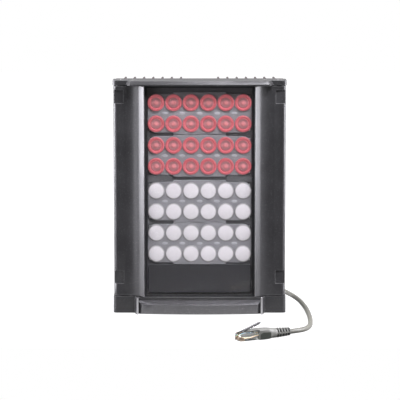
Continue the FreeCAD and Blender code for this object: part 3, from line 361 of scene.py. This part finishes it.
def coated(name, colour, fleck, roughness, worn_and_lit_edge=(0.09, 0.5), grain=1100.0, dust=0.12, metallic=0.0):
    """Powder-coated metal."""
    material, net, shader = finish(name)
    coat = set_group(net, powder_coat, {"Colour": colour, "Fleck": fleck, "Grain": grain,
                                        "Roughness": roughness})
    wear_and_highlight = set_group(net, edge_wear_and_highlight, {"Width": 0.0007, "Amount": worn_and_lit_edge[1]})
    dusty = set_group(net, settled_dust, {"Amount": dust})
    # Edges lightened: partly wear, partly a painted highlight.
    tone = net.mix(wear_and_highlight.outputs["Mask"], coat.outputs["Colour"], grey(worn_and_lit_edge[0]))
    tone = net.mix(dusty.outputs["Mask"], tone, grey(0.32, (1, 0.98, 0.94)))
    net.tree.links.new(tone, shader.inputs["Base Color"])
    net.tree.links.new(coat.outputs["Roughness"], shader.inputs["Roughness"])
    shader.inputs["Metallic"].default_value = metallic
    bump(net, shader, coat.outputs["Height"], 0.12, 0.0003)
    return material


def plastic(name, colour, roughness, grain=700.0, strength=0.06, worn_and_lit_edge=None, dust=0.06, **values):
    """Moulded plastic or rubber."""
    material, net, shader = finish(name)
    skin = set_group(net, moulded, {"Colour": colour, "Roughness": roughness, "Grain": grain})
    dusty = set_group(net, settled_dust, {"Amount": dust})
    wear_and_highlight = set_group(net, edge_wear_and_highlight, {"Width": 0.0004, "Amount": 0.35})
    light = worn_and_lit_edge or tuple(min(1.0, v * 1.5 + 0.02) for v in colour[:3]) + (1,)
    # Edges lightened: partly wear, partly a painted highlight.
    tone = net.mix(wear_and_highlight.outputs["Mask"], skin.outputs["Colour"], light)
    tone = net.mix(dusty.outputs["Mask"], tone, grey(0.4))
    net.tree.links.new(tone, shader.inputs["Base Color"])
    net.tree.links.new(skin.outputs["Roughness"], shader.inputs["Roughness"])
    bump(net, shader, skin.outputs["Height"], strength, 0.0002)
    for socket, value in values.items():
        shader.inputs[socket.replace("_", " ")].default_value = value
    return material


def metal(name, colour, roughness, stretch=(900.0, 900.0, 12.0), dust=0.08):
    """Bare metal with the lines of drawing or turning."""
    material, net, shader = finish(name)
    skin = set_group(net, drawn, {"Colour": colour, "Stretch": stretch, "Roughness": roughness})
    wear_and_highlight = set_group(net, edge_wear_and_highlight, {"Width": 0.0003, "Amount": 0.5})
    dusty = set_group(net, settled_dust, {"Amount": dust})
    light = tuple(min(1.0, v * 1.3 + 0.05) for v in colour[:3]) + (1,)
    # Edges lightened: partly wear, partly a painted highlight.
    tone = net.mix(wear_and_highlight.outputs["Mask"], skin.outputs["Colour"], light)
    tone = net.mix(dusty.outputs["Mask"], tone, grey(0.3))
    net.tree.links.new(tone, shader.inputs["Base Color"])
    net.tree.links.new(skin.outputs["Roughness"], shader.inputs["Roughness"])
    shader.inputs["Metallic"].default_value = 1.0
    bump(net, shader, skin.outputs["Height"], 0.08, 0.0002)
    return material


# %% Finishes of the housing and the small parts
GREY_TINT = (1.0, 0.985, 1.03)
finishes = {
    "coated_aluminium": coated("dark powder coat", grey(0.022, GREY_TINT), grey(0.078, GREY_TINT), 0.36,
                                worn_and_lit_edge=(0.30, 0.8), grain=900.0),
    # The cover's coat is smoother, and its lighter, more metallic colour is partly a painted reflection.
    "cover_sheen_coat": coated("cover coat with painted sheen", grey(0.13, GREY_TINT), grey(0.28, GREY_TINT), 0.24,
                         worn_and_lit_edge=(0.60, 0.85), grain=700.0,
                         metallic=0.7),
    # A light metallic coat that paints the highlight on the bottom cap's step strips.
    "rubbed_coat": coated("rubbed coat", grey(0.46, GREY_TINT), grey(0.62, GREY_TINT), 0.22, worn_and_lit_edge=(0.8, 0.8),
                          grain=700.0, metallic=0.9),
    "sink_coat": coated("heat sink coat", grey(0.024, (1.3, 0.88, 0.88)), grey(0.05, (1.2, 0.9, 0.9)), 0.5, grain=900.0,
                        dust=0.02),
    "coated_steel": coated("bracket coat", grey(0.028), grey(0.07), 0.42),
    "steel": metal("zinc plated steel", grey(0.32, (1, 0.99, 0.96)), 0.36, (500.0, 500.0, 500.0)),
    "black_rubber": plastic("black rubber", grey(0.018), 0.7),
    "mask_black": plastic("black mask", grey(0.065), 0.5),
    "panel_dark": plastic("dark panel", grey(0.020, GREY_TINT), 0.45, grain=900.0, strength=0.1),
    "tray_grey": plastic("grey tray", grey(0.175, (1.0, 0.985, 1.0)), 0.42),
    "tray_pale": plastic("painted reflection spot", grey(0.27, (0.99, 1.0, 1.0)), 0.32),
    "board_white": plastic("white board", grey(0.7), 0.45),
    "board_green": plastic("green board", (0.015, 0.09, 0.03, 1), 0.4),
    "bare_aluminium": metal("bare aluminium", grey(0.6), 0.4),
    "chip_red": plastic("red chip", (0.35, 0.03, 0.04, 1), 0.35),
    "chip_white": plastic("lit chip", grey(0.85), 0.35),
    "parts_black": plastic("black parts", grey(0.02), 0.4),
    "gland_plastic": plastic("black gland plastic", grey(0.024), 0.42, grain=400.0),
    "lead_grey": plastic("grey cable sheath", (0.112, 0.110, 0.090, 1), 0.45, grain=1200.0),
    "boot_grey": plastic("grey boot", (0.14, 0.14, 0.125, 1), 0.45),
}
print(len(finishes), "finishes")

# %% [markdown]
# ## Clear and gilded finishes
# The window is polished acrylic and the plug a clear polycarbonate. Both are real glass-like
# shaders. Light for the parts behind them passes straight through on shadow rays, because
# light bent by a thin flat pane lands almost where it would have anyway.


# %% Clear finishes
def clear(name, tint, roughness, index, rim=None):
    """Clear plastic that lets light through to what lies behind it. A rim colour darkens steep faces, as painted shade.
    """
    material, net, shader = finish(name)
    specks = net.add("ShaderNodeTexNoise", {"Vector": net.add("ShaderNodeTexCoord").outputs["Object"],
                                            "Scale": 240.0, "Detail": 4.0})
    haze = net.add("ShaderNodeMapRange", {"Value": specks.outputs["Fac"], "From Min": 0.45, "From Max": 0.8,
                                          "To Min": roughness, "To Max": roughness + 0.05})
    net.tree.links.new(haze.outputs[0], shader.inputs["Roughness"])
    shader.inputs["Base Color"].default_value = tint
    # Painted shade: a dark tint on faces seen edge-on, for the dark outline of a clear body.
    if rim:
        facing = net.add("ShaderNodeLayerWeight", {"Blend": 0.35}).outputs["Facing"]
        net.tree.links.new(net.mix(facing, tint, rim), shader.inputs["Base Color"])
    shader.inputs["Transmission Weight"].default_value = 1.0
    shader.inputs["IOR"].default_value = index
    shadow = net.add("ShaderNodeLightPath").outputs["Is Shadow Ray"]
    through = net.add("ShaderNodeBsdfTransparent", {"Color": tint})
    both = net.add("ShaderNodeMixShader", {0: shadow, 1: shader.outputs[0], 2: through.outputs[0]})
    output = next(n for n in material.node_tree.nodes if n.type == "OUTPUT_MATERIAL")
    net.tree.links.new(both.outputs[0], output.inputs["Surface"])
    return material


finishes["clear_window"] = clear("clear window", (0.97, 0.97, 0.98, 1), 0.02, 1.45)
finishes["plug_clear"] = clear("clear plug", (0.80, 0.82, 0.80, 1), 0.04, 1.5, (0.03, 0.035, 0.03, 1))
finishes["contact_gold"] = metal("gold contacts", (0.72, 0.55, 0.43, 1), 0.3)

# %% [markdown]
# ## Wires in the plug
# The eight wires keep the colours of the common order, and each wire's mesh carries its number,
# so one ramp with hard steps paints all eight.

# %% Wires in the plug
WIRES = [(0.80, 0.62, 0.45), (0.78, 0.33, 0.08), (0.55, 0.72, 0.52), (0.08, 0.22, 0.55), (0.52, 0.60, 0.75),
         (0.10, 0.42, 0.14), (0.66, 0.56, 0.46), (0.26, 0.13, 0.06)]
material, net, shader = finish("wire colours")
number = net.add("ShaderNodeAttribute", attribute_name="way").outputs["Fac"]
ramp = net.add("ShaderNodeValToRGB", {0: number})
ramp.color_ramp.interpolation = "CONSTANT"
while len(ramp.color_ramp.elements) < 8:
    ramp.color_ramp.elements.new(0.5)
for k, (element, colour) in enumerate(zip(ramp.color_ramp.elements, WIRES)):
    element.position = k / 8
    element.color = colour + (1,)
skin = set_group(net, moulded, {"Colour": ramp.outputs[0], "Roughness": 0.35, "Grain": 900.0})
net.tree.links.new(skin.outputs["Colour"], shader.inputs["Base Color"])
net.tree.links.new(skin.outputs["Roughness"], shader.inputs["Roughness"])
bump(net, shader, skin.outputs["Height"], 0.05, 0.0001)
finishes["wire_colours"] = material
finishes["latch_smoke"] = plastic("latch teeth", grey(0.035), 0.3)
# A dark finish that paints the shade in the boot's open side pockets.
finishes["insert_dark"] = plastic("painted pocket shade", (0.030, 0.034, 0.026, 1), 0.5, grain=500.0, dust=0.02)
# A near-black finish that paints the deep shade in the collar's slots.
finishes["slot_black"] = plastic("painted shade in collar slots", grey(0.004), 0.7, dust=0.0)

# %% [markdown]
# ## Lens finishes
# A lens over a lamp shows its rim, a duller ring and a bright middle. Here they are painted
# highlights in the lens colour, with a painted highlight streak across the middle and a painted
# glow from the emission. Each lens mesh carries its distance from the axis as an attribute, so
# one colour ramp paints every lens alike. The red ones belong to the infrared lamps.


# %% Lens finishes
def lens_finish(name, stops, painted_glow, streak_strength):
    """Tinted clear plastic in front of a lamp, with painted highlight rings from axis to rim, a painted streak and a
    painted glow.
    """
    material, net, shader = finish(name)
    away = net.add("ShaderNodeAttribute", attribute_name="from_axis").outputs["Fac"]
    ramp = net.add("ShaderNodeValToRGB", {0: away})
    while len(ramp.color_ramp.elements) < len(stops):
        ramp.color_ramp.elements.new(0.5)
    for element, (where, colour) in zip(ramp.color_ramp.elements, stops):
        element.position = where
        element.color = colour
    height = net.add("ShaderNodeAttribute", attribute_name="above_axis").outputs["Fac"]
    level = net.add("ShaderNodeMapRange", {"Value": net.math("ABSOLUTE", height), "From Min": 0.02,
                                           "From Max": 0.3, "To Min": streak_strength, "To Max": 0.0})
    inside = net.add("ShaderNodeMapRange", {"Value": away, "From Min": 0.62, "From Max": 0.72,
                                            "To Min": 1.0, "To Max": 0.0})
    place = net.add("ShaderNodeTexCoord").outputs["Object"]
    swirl = net.add("ShaderNodeTexNoise", {"Vector": place, "Scale": 420.0, "Detail": 3.0}).outputs["Fac"]
    uneven = net.math("ADD", 0.93, net.math("MULTIPLY", swirl, 0.14))
    # A painted highlight streak across the middle of each lens.
    painted_streak = net.math("MULTIPLY", level.outputs[0], inside.outputs[0])
    tone = net.mix(painted_streak, ramp.outputs[0], stops[0][1])
    tone = net.add("ShaderNodeVectorMath", {0: tone, 1: uneven}, operation="MULTIPLY").outputs[0]
    skin = net.add("ShaderNodeVectorMath", {0: tone, "Scale": 0.5}, operation="SCALE").outputs[0]
    net.tree.links.new(skin, shader.inputs["Base Color"])
    net.tree.links.new(tone, shader.inputs["Emission Color"])
    # The emission is a painted glow; no lamp lights the lens from behind.
    shader.inputs["Emission Strength"].default_value = painted_glow
    rough = net.add("ShaderNodeMapRange", {"Value": swirl, "To Min": 0.12, "To Max": 0.22})
    net.tree.links.new(rough.outputs[0], shader.inputs["Roughness"])
    return material


RED_RIM = (0.49, 0.118, 0.132, 1)
finishes["lens_red"] = lens_finish("red lens", [
    (0.0, (0.62, 0.22, 0.23, 1)), (0.12, (0.55, 0.19, 0.195, 1)), (0.36, (0.30, 0.135, 0.142, 1)),
    (0.58, (0.27, 0.122, 0.13, 1)), (0.67, RED_RIM), (0.95, (0.48, 0.115, 0.128, 1)),
    (1.0, (0.44, 0.105, 0.12, 1))], 0.56, 0.4)
finishes["lens_white"] = lens_finish("white lens", [
    (0.0, grey(0.80, (1, 0.965, 0.965))), (0.84, grey(0.78, (1, 0.96, 0.96))),
    (1.0, grey(0.32, (1, 0.97, 0.93)))], 0.185, 0.0)

# %% [markdown]
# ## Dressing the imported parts
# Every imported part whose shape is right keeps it, and only its material is changed. The record
# says which finish each one has, so the parts and the finishes stay in step.

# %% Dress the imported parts
slots = {part["node"]: part["material_slot"] for part in frame["record"]["subparts"]}
own_finish = {"heat_sink": "sink_coat", "lens_cover": "cover_sheen_coat"}


def dress(piece, name):
    """Gives a piece one finish on all its faces."""
    if piece.material_slots:
        for place in piece.material_slots:
            place.material = finishes[name]
    else:
        piece.data.materials.append(finishes[name])


for node, piece in frame["nodes"].items():
    wanted = own_finish.get(node, slots[node])
    if wanted in finishes:
        dress(piece, wanted)
    else:
        print("no finish yet for", node, wanted)
dress(lead, "lead_grey")
print("dressed", len(frame["nodes"]), "packed parts")

# %% [markdown]
# ## Building pieces
# The small pieces are turned or moulded, so two helpers make nearly all of them: one spins a
# profile round an axis, the other thickens an outline. A profile row may also be a hexagon or a
# cross, and that is how a screw gets its recess.


# %% Piece helpers
def grown(name, node, body, slot, work, place=None, look=None):
    """Makes a piece of a mesh built in place, and lets it ride on a body."""
    mesh = bpy.data.meshes.new(name)
    bmesh.ops.recalc_face_normals(work, faces=work.faces)
    work.to_mesh(mesh)
    work.free()
    if place:
        mesh.transform(place)
    for face in mesh.polygons:
        face.use_smooth = True
    mesh.set_sharp_from_angle(angle=math.radians(38))
    piece = bpy.data.objects.new(name, mesh)
    scene.collection.objects.link(piece)
    if node:
        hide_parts(node)
    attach(piece, body)
    mesh.materials.append(finishes[look or slot])
    return piece


def reach_of(shape, turn):
    """How far a round, a hexagon or a cross reaches at one turn."""
    if shape == "hexagon":
        return 1 / math.cos((turn + math.pi / 6) % (math.pi / 3) - math.pi / 6)
    if shape == "cross":
        return 1 - 0.6 * abs(math.sin(2 * turn)) ** 0.6
    return 1


def spin(work, profile, place, steps=48):
    """Spins rows of (radius, height, shape) round the Z axis, then puts them in place."""
    rings = []
    for radius, height, *shape in profile:
        ring = []
        for k in range(steps if radius else 1):
            turn = 2 * math.pi * k / steps
            far = radius * reach_of(shape[0] if shape else "", turn)
            ring.append(work.verts.new(place @ Vector((far * math.cos(turn), far * math.sin(turn), height))))
        rings.append(ring)
    for one, two in zip(rings, rings[1:]):
        for k in range(steps):
            corners = [one[k % len(one)], one[(k + 1) % len(one)], two[(k + 1) % len(two)], two[k % len(two)]]
            corners = list(dict.fromkeys(corners))
            if len(corners) > 2:
                work.faces.new(corners)
    return rings


def islands(node):
    """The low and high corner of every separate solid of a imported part."""
    work = bmesh.new()
    work.from_mesh(frame["nodes"][node].data)
    bmesh.ops.remove_doubles(work, verts=work.verts, dist=0.000002)
    work.verts.ensure_lookup_table()
    left = set(range(len(work.verts)))
    found = []
    while left:
        todo = [left.pop()]
        mine = []
        while todo:
            index = todo.pop()
            mine.append(work.verts[index].co.copy())
            for edge in work.verts[index].link_edges:
                other = edge.other_vert(work.verts[index]).index
                if other in left:
                    left.remove(other)
                    todo.append(other)
        found.append((Vector(map(min, zip(*mine))), Vector(map(max, zip(*mine)))))
    work.free()
    merged = []
    for low, high in sorted(found, key=lambda pair: -(pair[1] - pair[0]).length):
        middle = (low + high) / 2
        if not any(all(a - 1e-5 <= m <= b + 1e-5 for a, m, b in zip(l, middle, h)) for l, h in merged):
            merged.append((low, high))
    return merged


# %% [markdown]
# ## Lenses
# Each lamp sits behind a round lens that is pressed into the grey tray. A rolled rim holds it,
# and inside the rim the clear face is slightly domed with a small raised middle. The lenses of
# one tray are one moulding on the real lamp, so they are one mesh here too.

# %% Lenses
RINGED = [(0, 0.9), (0.9, 0.93), (1.7, 1.05), (2.3, 1.35), (2.7, 1.5), (3.6, 1.35), (4.8, 1.3), (5.5, 1.42),
          (5.7, 1.5), (5.85, 1.1), (6.0, 0.4), (6.3, 0.08), (7.0, 0.0), (7.8, 0.06), (8.1, 0.3)]
PLAIN = [(0, 0.0), (1.5, 0.03), (3.0, 0.1), (4.5, 0.24), (5.8, 0.42), (6.9, 0.66), (7.7, 0.92), (8.1, 1.15)]
BACK = [(8.2, 1.3), (8.25, 1.78), (6.95, 1.78), (6.9, 3.2), (3.5, 9.3), (0, 9.3)]
PROFILE_WIDE = 16.0
lens_count = 0
for number in range(1, 5):
    node = f"lenses_{number}"
    face_rows = RINGED if slots[node] == "lens_red" else PLAIN
    work = bmesh.new()
    away = work.verts.layers.float.new("from_axis")
    above = work.verts.layers.float.new("above_axis")
    for low, high in islands(node):
        middle = (low + high) / 2
        place = Matrix.Translation((middle.x, low.y, middle.z)) @ Matrix.Rotation(math.radians(-90), 4, "X")
        grow = (high.x - low.x) / PROFILE_WIDE
        rows = [(r * grow, h / 1000) for r, h in face_rows + BACK]
        for ring in spin(work, rows, place, 40):
            for vert in ring:
                offset = vert.co - middle
                vert[away] = math.hypot(offset.x, offset.z) * 2 / (high.x - low.x)
                vert[above] = offset.z * 2 / (high.x - low.x)
        lens_count += 1
    grown(f"lens_set_{number}", node, "housing", slots[node], work)
print(lens_count, "lenses")

# %% [markdown]
# ## Softened castings and mouldings
# No cast cap or moulded tray has a knife edge. The caps, the cover, the trays and the bracket
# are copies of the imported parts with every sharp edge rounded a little, so each edge catches
# a thin line of light, as it does on the real object.


# %% Softened pieces
def softened(node, wide, body="housing", look=None, segments=3):
    """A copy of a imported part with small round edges."""
    work = bmesh.new()
    work.from_mesh(frame["nodes"][node].data)
    bmesh.ops.remove_doubles(work, verts=work.verts, dist=0.000002)
    bmesh.ops.dissolve_limit(work, angle_limit=0.002, verts=work.verts, edges=work.edges)
    piece = grown(node + "_soft", node, body, slots[node], work, look=look)
    rounding = piece.modifiers.new("rounding", "BEVEL")
    rounding.width = wide
    rounding.segments = segments
    rounding.limit_method = "ANGLE"
    rounding.angle_limit = math.radians(32)
    rounding.harden_normals = True
    return piece


softened("housing_shell", 0.0003, segments=2)
softened("top_cap", 0.0007)
bottom = softened("bottom_cap", 0.0011)
softened("lens_cover", 0.0011, look=own_finish["lens_cover"])
for number in range(1, 5):
    softened(f"lens_tray_{number}", 0.0003)
softened("pivot_lug", 0.0006)
softened("tilt_bracket", 0.0005, "bracket")
# The step strips of the bottom cap get the light coat: a painted highlight where the step catches side light.
STRIP_IN, STRIP_OUT = 0.0643, 0.0692
bottom.data.materials.append(finishes["rubbed_coat"])
highlighted = 0
for face in bottom.data.polygons:
    if STRIP_IN < abs(face.center.x) < STRIP_OUT and face.center.y < FACE + 0.003 and face.normal.y < -0.2:
        face.material_index = 1
        highlighted += 1
print("softened the castings and mouldings,", highlighted, "rubbed faces on the step strips")

# %% [markdown]
# ## Painted reflection spots on the trays
# Between the two rows of lenses each tray shows five thin oval spots. They are paler discs that
# paint a reflection on the tray.

# %% Painted reflection spots
for number in range(1, 5):
    low, high = islands(f"lens_tray_{number}")[0]
    middle = (low + high) / 2
    work = bmesh.new()
    for k in range(-2, 3):
        spot = Matrix.Translation((k * 0.01815, low.y, middle.z)) @ Matrix.Rotation(math.radians(90), 4, "X")
        spot = spot @ Matrix.Diagonal((1, 0.5, 1, 1))
        rows = [(0, 0.00022), (0.0016, 0.0002), (0.0026, 0.00012), (0.0031, 0.0), (0.0031, -0.0005), (0, -0.0005)]
        spin(work, rows, spot, 32)
    grown(f"tray_reflection_spots_{number}", None, "housing", "tray_grey", work, look="tray_pale")
print("five painted reflection spots on each tray")

# %% [markdown]
# ## Screws
# All visible screws are plain machine and sheet metal screws. Each is one turned shape, with the
# rows of its recess set as a hexagon or a cross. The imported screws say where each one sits, so
# the new ones can't drift from their holes.


# %% Screws
def screws(node, axis, head, shape, slot="steel", sunk=False):
    """Turned screws with a recess, each in the place of a packed one. Head rows are shares of its size."""
    spots = islands(node)
    work = bmesh.new()
    for low, high in spots:
        span = high - low
        long = span["XYZ".index(axis)] if axis in "XYZ" else span[{"x": 0, "y": 1, "z": 2}[axis]]
        index = "xyz".index(axis.lower())
        wide = max(span[k] for k in range(3) if k != index) / 2
        middle = (low + high) / 2
        turned = {"x": Matrix.Rotation(math.radians(90), 4, "Y"), "X": Matrix.Rotation(math.radians(-90), 4, "Y"),
                  "y": Matrix.Rotation(math.radians(-90), 4, "X"), "Y": Matrix.Rotation(math.radians(90), 4, "X"),
                  "z": Matrix.Identity(4), "Z": Matrix.Rotation(math.radians(180), 4, "X")}[axis]
        start = Matrix.Translation(middle) @ turned @ Matrix.Translation((0, 0, long / 2))
        recess, shank = (0.5, 0.5) if shape == "hexagon" else (0.62, 0.5)
        crown = [(wide * 0.86, 0), (wide * 0.97, -head * 0.14), (wide, -head * 0.36), (wide, -head)]
        if sunk:
            crown = [(wide * 0.97, 0), (wide, -head * 0.08), (wide, -head * 0.14)]
        rows = [(0, -head * 0.62), (wide * recess * 0.96, -head * 0.62, shape), (wide * recess, -head * 0.1, shape),
                (wide * (recess + 0.08), 0, shape), *crown, (wide * shank, -head), (wide * shank, -long * 0.96),
                (wide * shank * 0.7, -long), (0, -long)]
        spin(work, rows, start, 36)
    return grown(node + "_turned", node, "housing", slot, work)


screws("rear_screws", "y", 0.0023, "hexagon")
screws("lug_screws", "y", 0.0030, "hexagon")
screws("top_cap_screws", "z", 0.0019, "cross", sunk=True)
screws("bottom_cap_screws", "Z", 0.0022, "cross")
screws("cover_screws", "Z", 0.0016, "cross", sunk=True)
print("screws turned anew")

# %% [markdown]
# ## Sleeve at the gland
# Where the lead leaves the gland a soft sleeve keeps it from kinking. It tapers with the
# lead's own bend, so it is a short curve on the same line whose thickness falls to its end.

# %% Sleeve at the gland
START, FIRST, SECOND = [Vector((x / 1000, y / 1000 + FACE, z / 1000)) for x, y, z in LEAD[:3]]
HALFWAY = (FIRST + SECOND) / 2


def on_lead(a, b):
    """A point that leads the first bend of the cable between two shares of it."""
    return START * (1 - a) * (1 - b) + FIRST * (a * (1 - b) + b * (1 - a)) + HALFWAY * a * b


near, far = 0.2, 0.74
sleeve = cable("gland_sleeve", [tuple(on_lead(near, near)), tuple(on_lead(near, far)), tuple(on_lead(far, far))], LEAD_WIDE)
for point, radius in zip(sleeve.data.splines[0].points, (0.0043, 0.0034, 0.0028)):
    point.radius = radius
tube = bpy.data.meshes.new_from_object(sleeve.evaluated_get(bpy.context.evaluated_depsgraph_get()))
bpy.data.objects.remove(sleeve)
sleeve = bpy.data.objects.new("gland_sleeve", tube)
scene.collection.objects.link(sleeve)
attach(sleeve, "housing")
dress(sleeve, "black_rubber")
print("sleeve over", round((on_lead(far, far) - on_lead(near, near)).length * 1000), "mm of the lead")

# %% [markdown]
# ## Plug
# The plug is a common eight-way network plug. Its boot is a soft moulding with open ribs, so it
# can bend; a near-black core inside the ribs paints the shade in their slots, and a dark panel on
# each side paints the shade in its open side pockets. The clear body shows the coloured wires and
# the gold blades, and its latch rises to the boot. All of it is built along the X axis with the
# nose to the left, and then laid on the end of the lead.

# %% Plug
PLUG_TURN = math.radians(28)
x, y, z = LEAD[-1]
at_plug = Matrix.Translation((x / 1000, y / 1000 + FACE, z / 1000)) @ Matrix.Rotation(PLUG_TURN, 4, "Z")


def block(work, sections):
    """Joins outlines of (y, z) points at growing x, in millimetres, and closes both ends."""
    rings = [[work.verts.new((x / 1000, y / 1000, z / 1000)) for y, z in outline] for x, outline in sections]
    for one, two in zip(rings, rings[1:]):
        for k in range(len(one)):
            work.faces.new((one[k], one[(k + 1) % len(one)], two[(k + 1) % len(two)], two[k]))
    work.faces.new(rings[0][::-1])
    work.faces.new(rings[-1])


def oval(wide, tall, corner, lift=0.0):
    """A rounded rectangle of (y, z) points round the middle line."""
    points = []
    for k, (sy, sz) in enumerate(((1, 1), (-1, 1), (-1, -1), (1, -1))):
        for step in range(6):
            turn = math.pi / 2 * (k + step / 5)
            points.append(((wide / 2 - corner) * sy + corner * math.cos(turn),
                           (tall / 2 - corner) * sz + corner * math.sin(turn) + lift))
    return points


NOSE = -28.0
work = bmesh.new()
block(work, [(NOSE, oval(12.0, 10.2, 1.6, 0.7)), (NOSE + 0.6, oval(12.4, 10.6, 1.8, 0.8)),
             (-17.5, oval(12.2, 10.6, 2.2, 0.8)), (-14.8, oval(11.4, 10.4, 3.2, 0.8)),
             (-12.6, oval(10.4, 10.2, 4.2, 0.7)), (-10.0, oval(9.8, 9.9, 4.6, 0.5)),
             (-7.2, oval(9.6, 9.6, 4.79, 0.4)), (-6.8, oval(9.2, 9.2, 4.59, 0.4))])
lying = Matrix.Translation((0, 0, 0.0004)) @ Matrix.Rotation(math.radians(90), 4, "Y")
for k in range(5):
    start, wide = -5.2 + 3.2 * k, 4.9 - 0.2 * k
    spin(work, [(0, start / 1000), ((wide - 0.2) / 1000, start / 1000), (wide / 1000, (start + 0.3) / 1000),
                (wide / 1000, (start + 0.9) / 1000), ((wide - 0.2) / 1000, (start + 1.2) / 1000),
                (0, (start + 1.2) / 1000)], lying, 36)
for turn in (0, 90, 180, 270):
    bar = Matrix.Translation((0, 0, 0.0004)) @ Matrix.Rotation(math.radians(turn), 4, "X")
    for vert in bmesh.ops.create_cube(work, size=1.0)["verts"]:
        end, out = vert.co.x > 0, vert.co.z > 0
        vert.co = bar @ Vector(((8.8 if end else -7.0) / 1000, vert.co.y * 0.0014,
                                ((3.95 if end else 4.75) if out else 2.7) / 1000))
block(work, [(-40.0, oval(5.0, 0.7, 0.3, 4.9)), (-37.0, oval(7.4, 1.0, 0.4, 5.1)), (-31.0, oval(9.2, 1.2, 0.5, 5.5)),
             (-26.0, oval(9.4, 1.4, 0.5, 5.6)), (-20.0, oval(9.0, 1.2, 0.5, 5.6))])
grown("ribbed_boot", "plug_boot", "housing", "boot_grey", work, at_plug)

# A near-black core inside the open ribs paints the deep shade in the collar's slots.
work = bmesh.new()
spin(work, [(0, -0.007), (0.0035, -0.007), (0.0033, 0.0084), (0.0029, 0.0088), (0, 0.0088)], lying, 32)
grown("collar_shade_core", None, "housing", "parts_black", work, at_plug, "slot_black")

# A dark panel on each side of the boot paints the shade in its open side pocket.
work = bmesh.new()
for side in (1, -1):
    outline = [(-27.2, -3.6), (-27.2, 1.4), (-24.5, 2.9), (-16.2, 2.9), (-15.0, 1.6), (-15.2, -3.0), (-16.6, -3.6)]
    inner = [work.verts.new((x / 1000, 0.0058 * side, z / 1000)) for x, z in outline]
    outer = [work.verts.new((x / 1000 * 0.992 - 0.00016, 0.00628 * side, z / 1000 * 0.94)) for x, z in outline]
    work.faces.new(inner)
    work.faces.new(outer)
    for k in range(len(outline)):
        work.faces.new((inner[k], inner[(k + 1) % 7], outer[(k + 1) % 7], outer[k]))
grown("boot_pocket_shades", None, "housing", "parts_black", work, at_plug, "insert_dark")

# The clear body is one block with a stepped top; its latch is a thin arm that rises to the boot.
work = bmesh.new()
block(work, [(-49.5, oval(11.0, 6.2, 0.5, -0.7)), (-49.1, oval(11.5, 6.9, 0.5, -0.5)),
             (-46.8, oval(11.7, 7.9, 0.5)), (-36.0, oval(11.7, 7.9, 0.5)), (-35.2, oval(11.7, 7.1, 0.5, -0.4)),
             (-27.6, oval(11.7, 7.1, 0.5, -0.4))])
ARM = [(-48.4, 3.2, 6.2), (-46.0, 4.2, 6.2), (-40.5, 6.0, 5.6), (-34.0, 8.2, 3.6), (-28.0, 10.4, 3.4),
       (-24.6, 12.0, 3.4), (-23.6, 12.2, 3.2)]
block(work, [(x, oval(wide, 1.1, 0.3, z)) for x, z, wide in ARM])
grown("clear_body", "plug_body", "housing", "plug_clear", work, at_plug)

work = bmesh.new()
way = work.verts.layers.float.new("way")
for k in range(8):
    across = (k - 3.5) * 1.02
    path = [(-27.5, across * 0.6, 0.6), (-33.0, across * 0.9, -0.4), (-38.0, across, -1.3), (-45.2, across, -1.5)]
    ends = []
    for x, y, z in path:
        ring = [work.verts.new((x / 1000, (y + 0.42 * math.cos(t * math.pi / 4)) / 1000,
                                (z + 0.42 * math.sin(t * math.pi / 4)) / 1000)) for t in range(8)]
        for vert in ring:
            vert[way] = (k + 0.5) / 8
        ends.append(ring)
    for one, two in zip(ends, ends[1:]):
        for t in range(8):
            work.faces.new((one[t], one[(t + 1) % 8], two[(t + 1) % 8], two[t]))
    work.faces.new(ends[0])
    work.faces.new(ends[-1])
grown("plug_wires", None, "housing", "lead_grey", work, at_plug, "wire_colours")

work = bmesh.new()
for k in range(8):
    along = -42.6 + 2.3 * k
    up = 5.2 + (along + 43.0) * 0.355 + 0.6
    for vert in bmesh.ops.create_cube(work, size=1.0)["verts"]:
        vert.co = Vector((along + vert.co.x * (1.5 if vert.co.z < 0 else 0.5), vert.co.y * 3.2,
                          up + vert.co.z * 1.7)) / 1000
grown("latch_teeth", None, "housing", "plug_clear", work, at_plug, "latch_smoke")
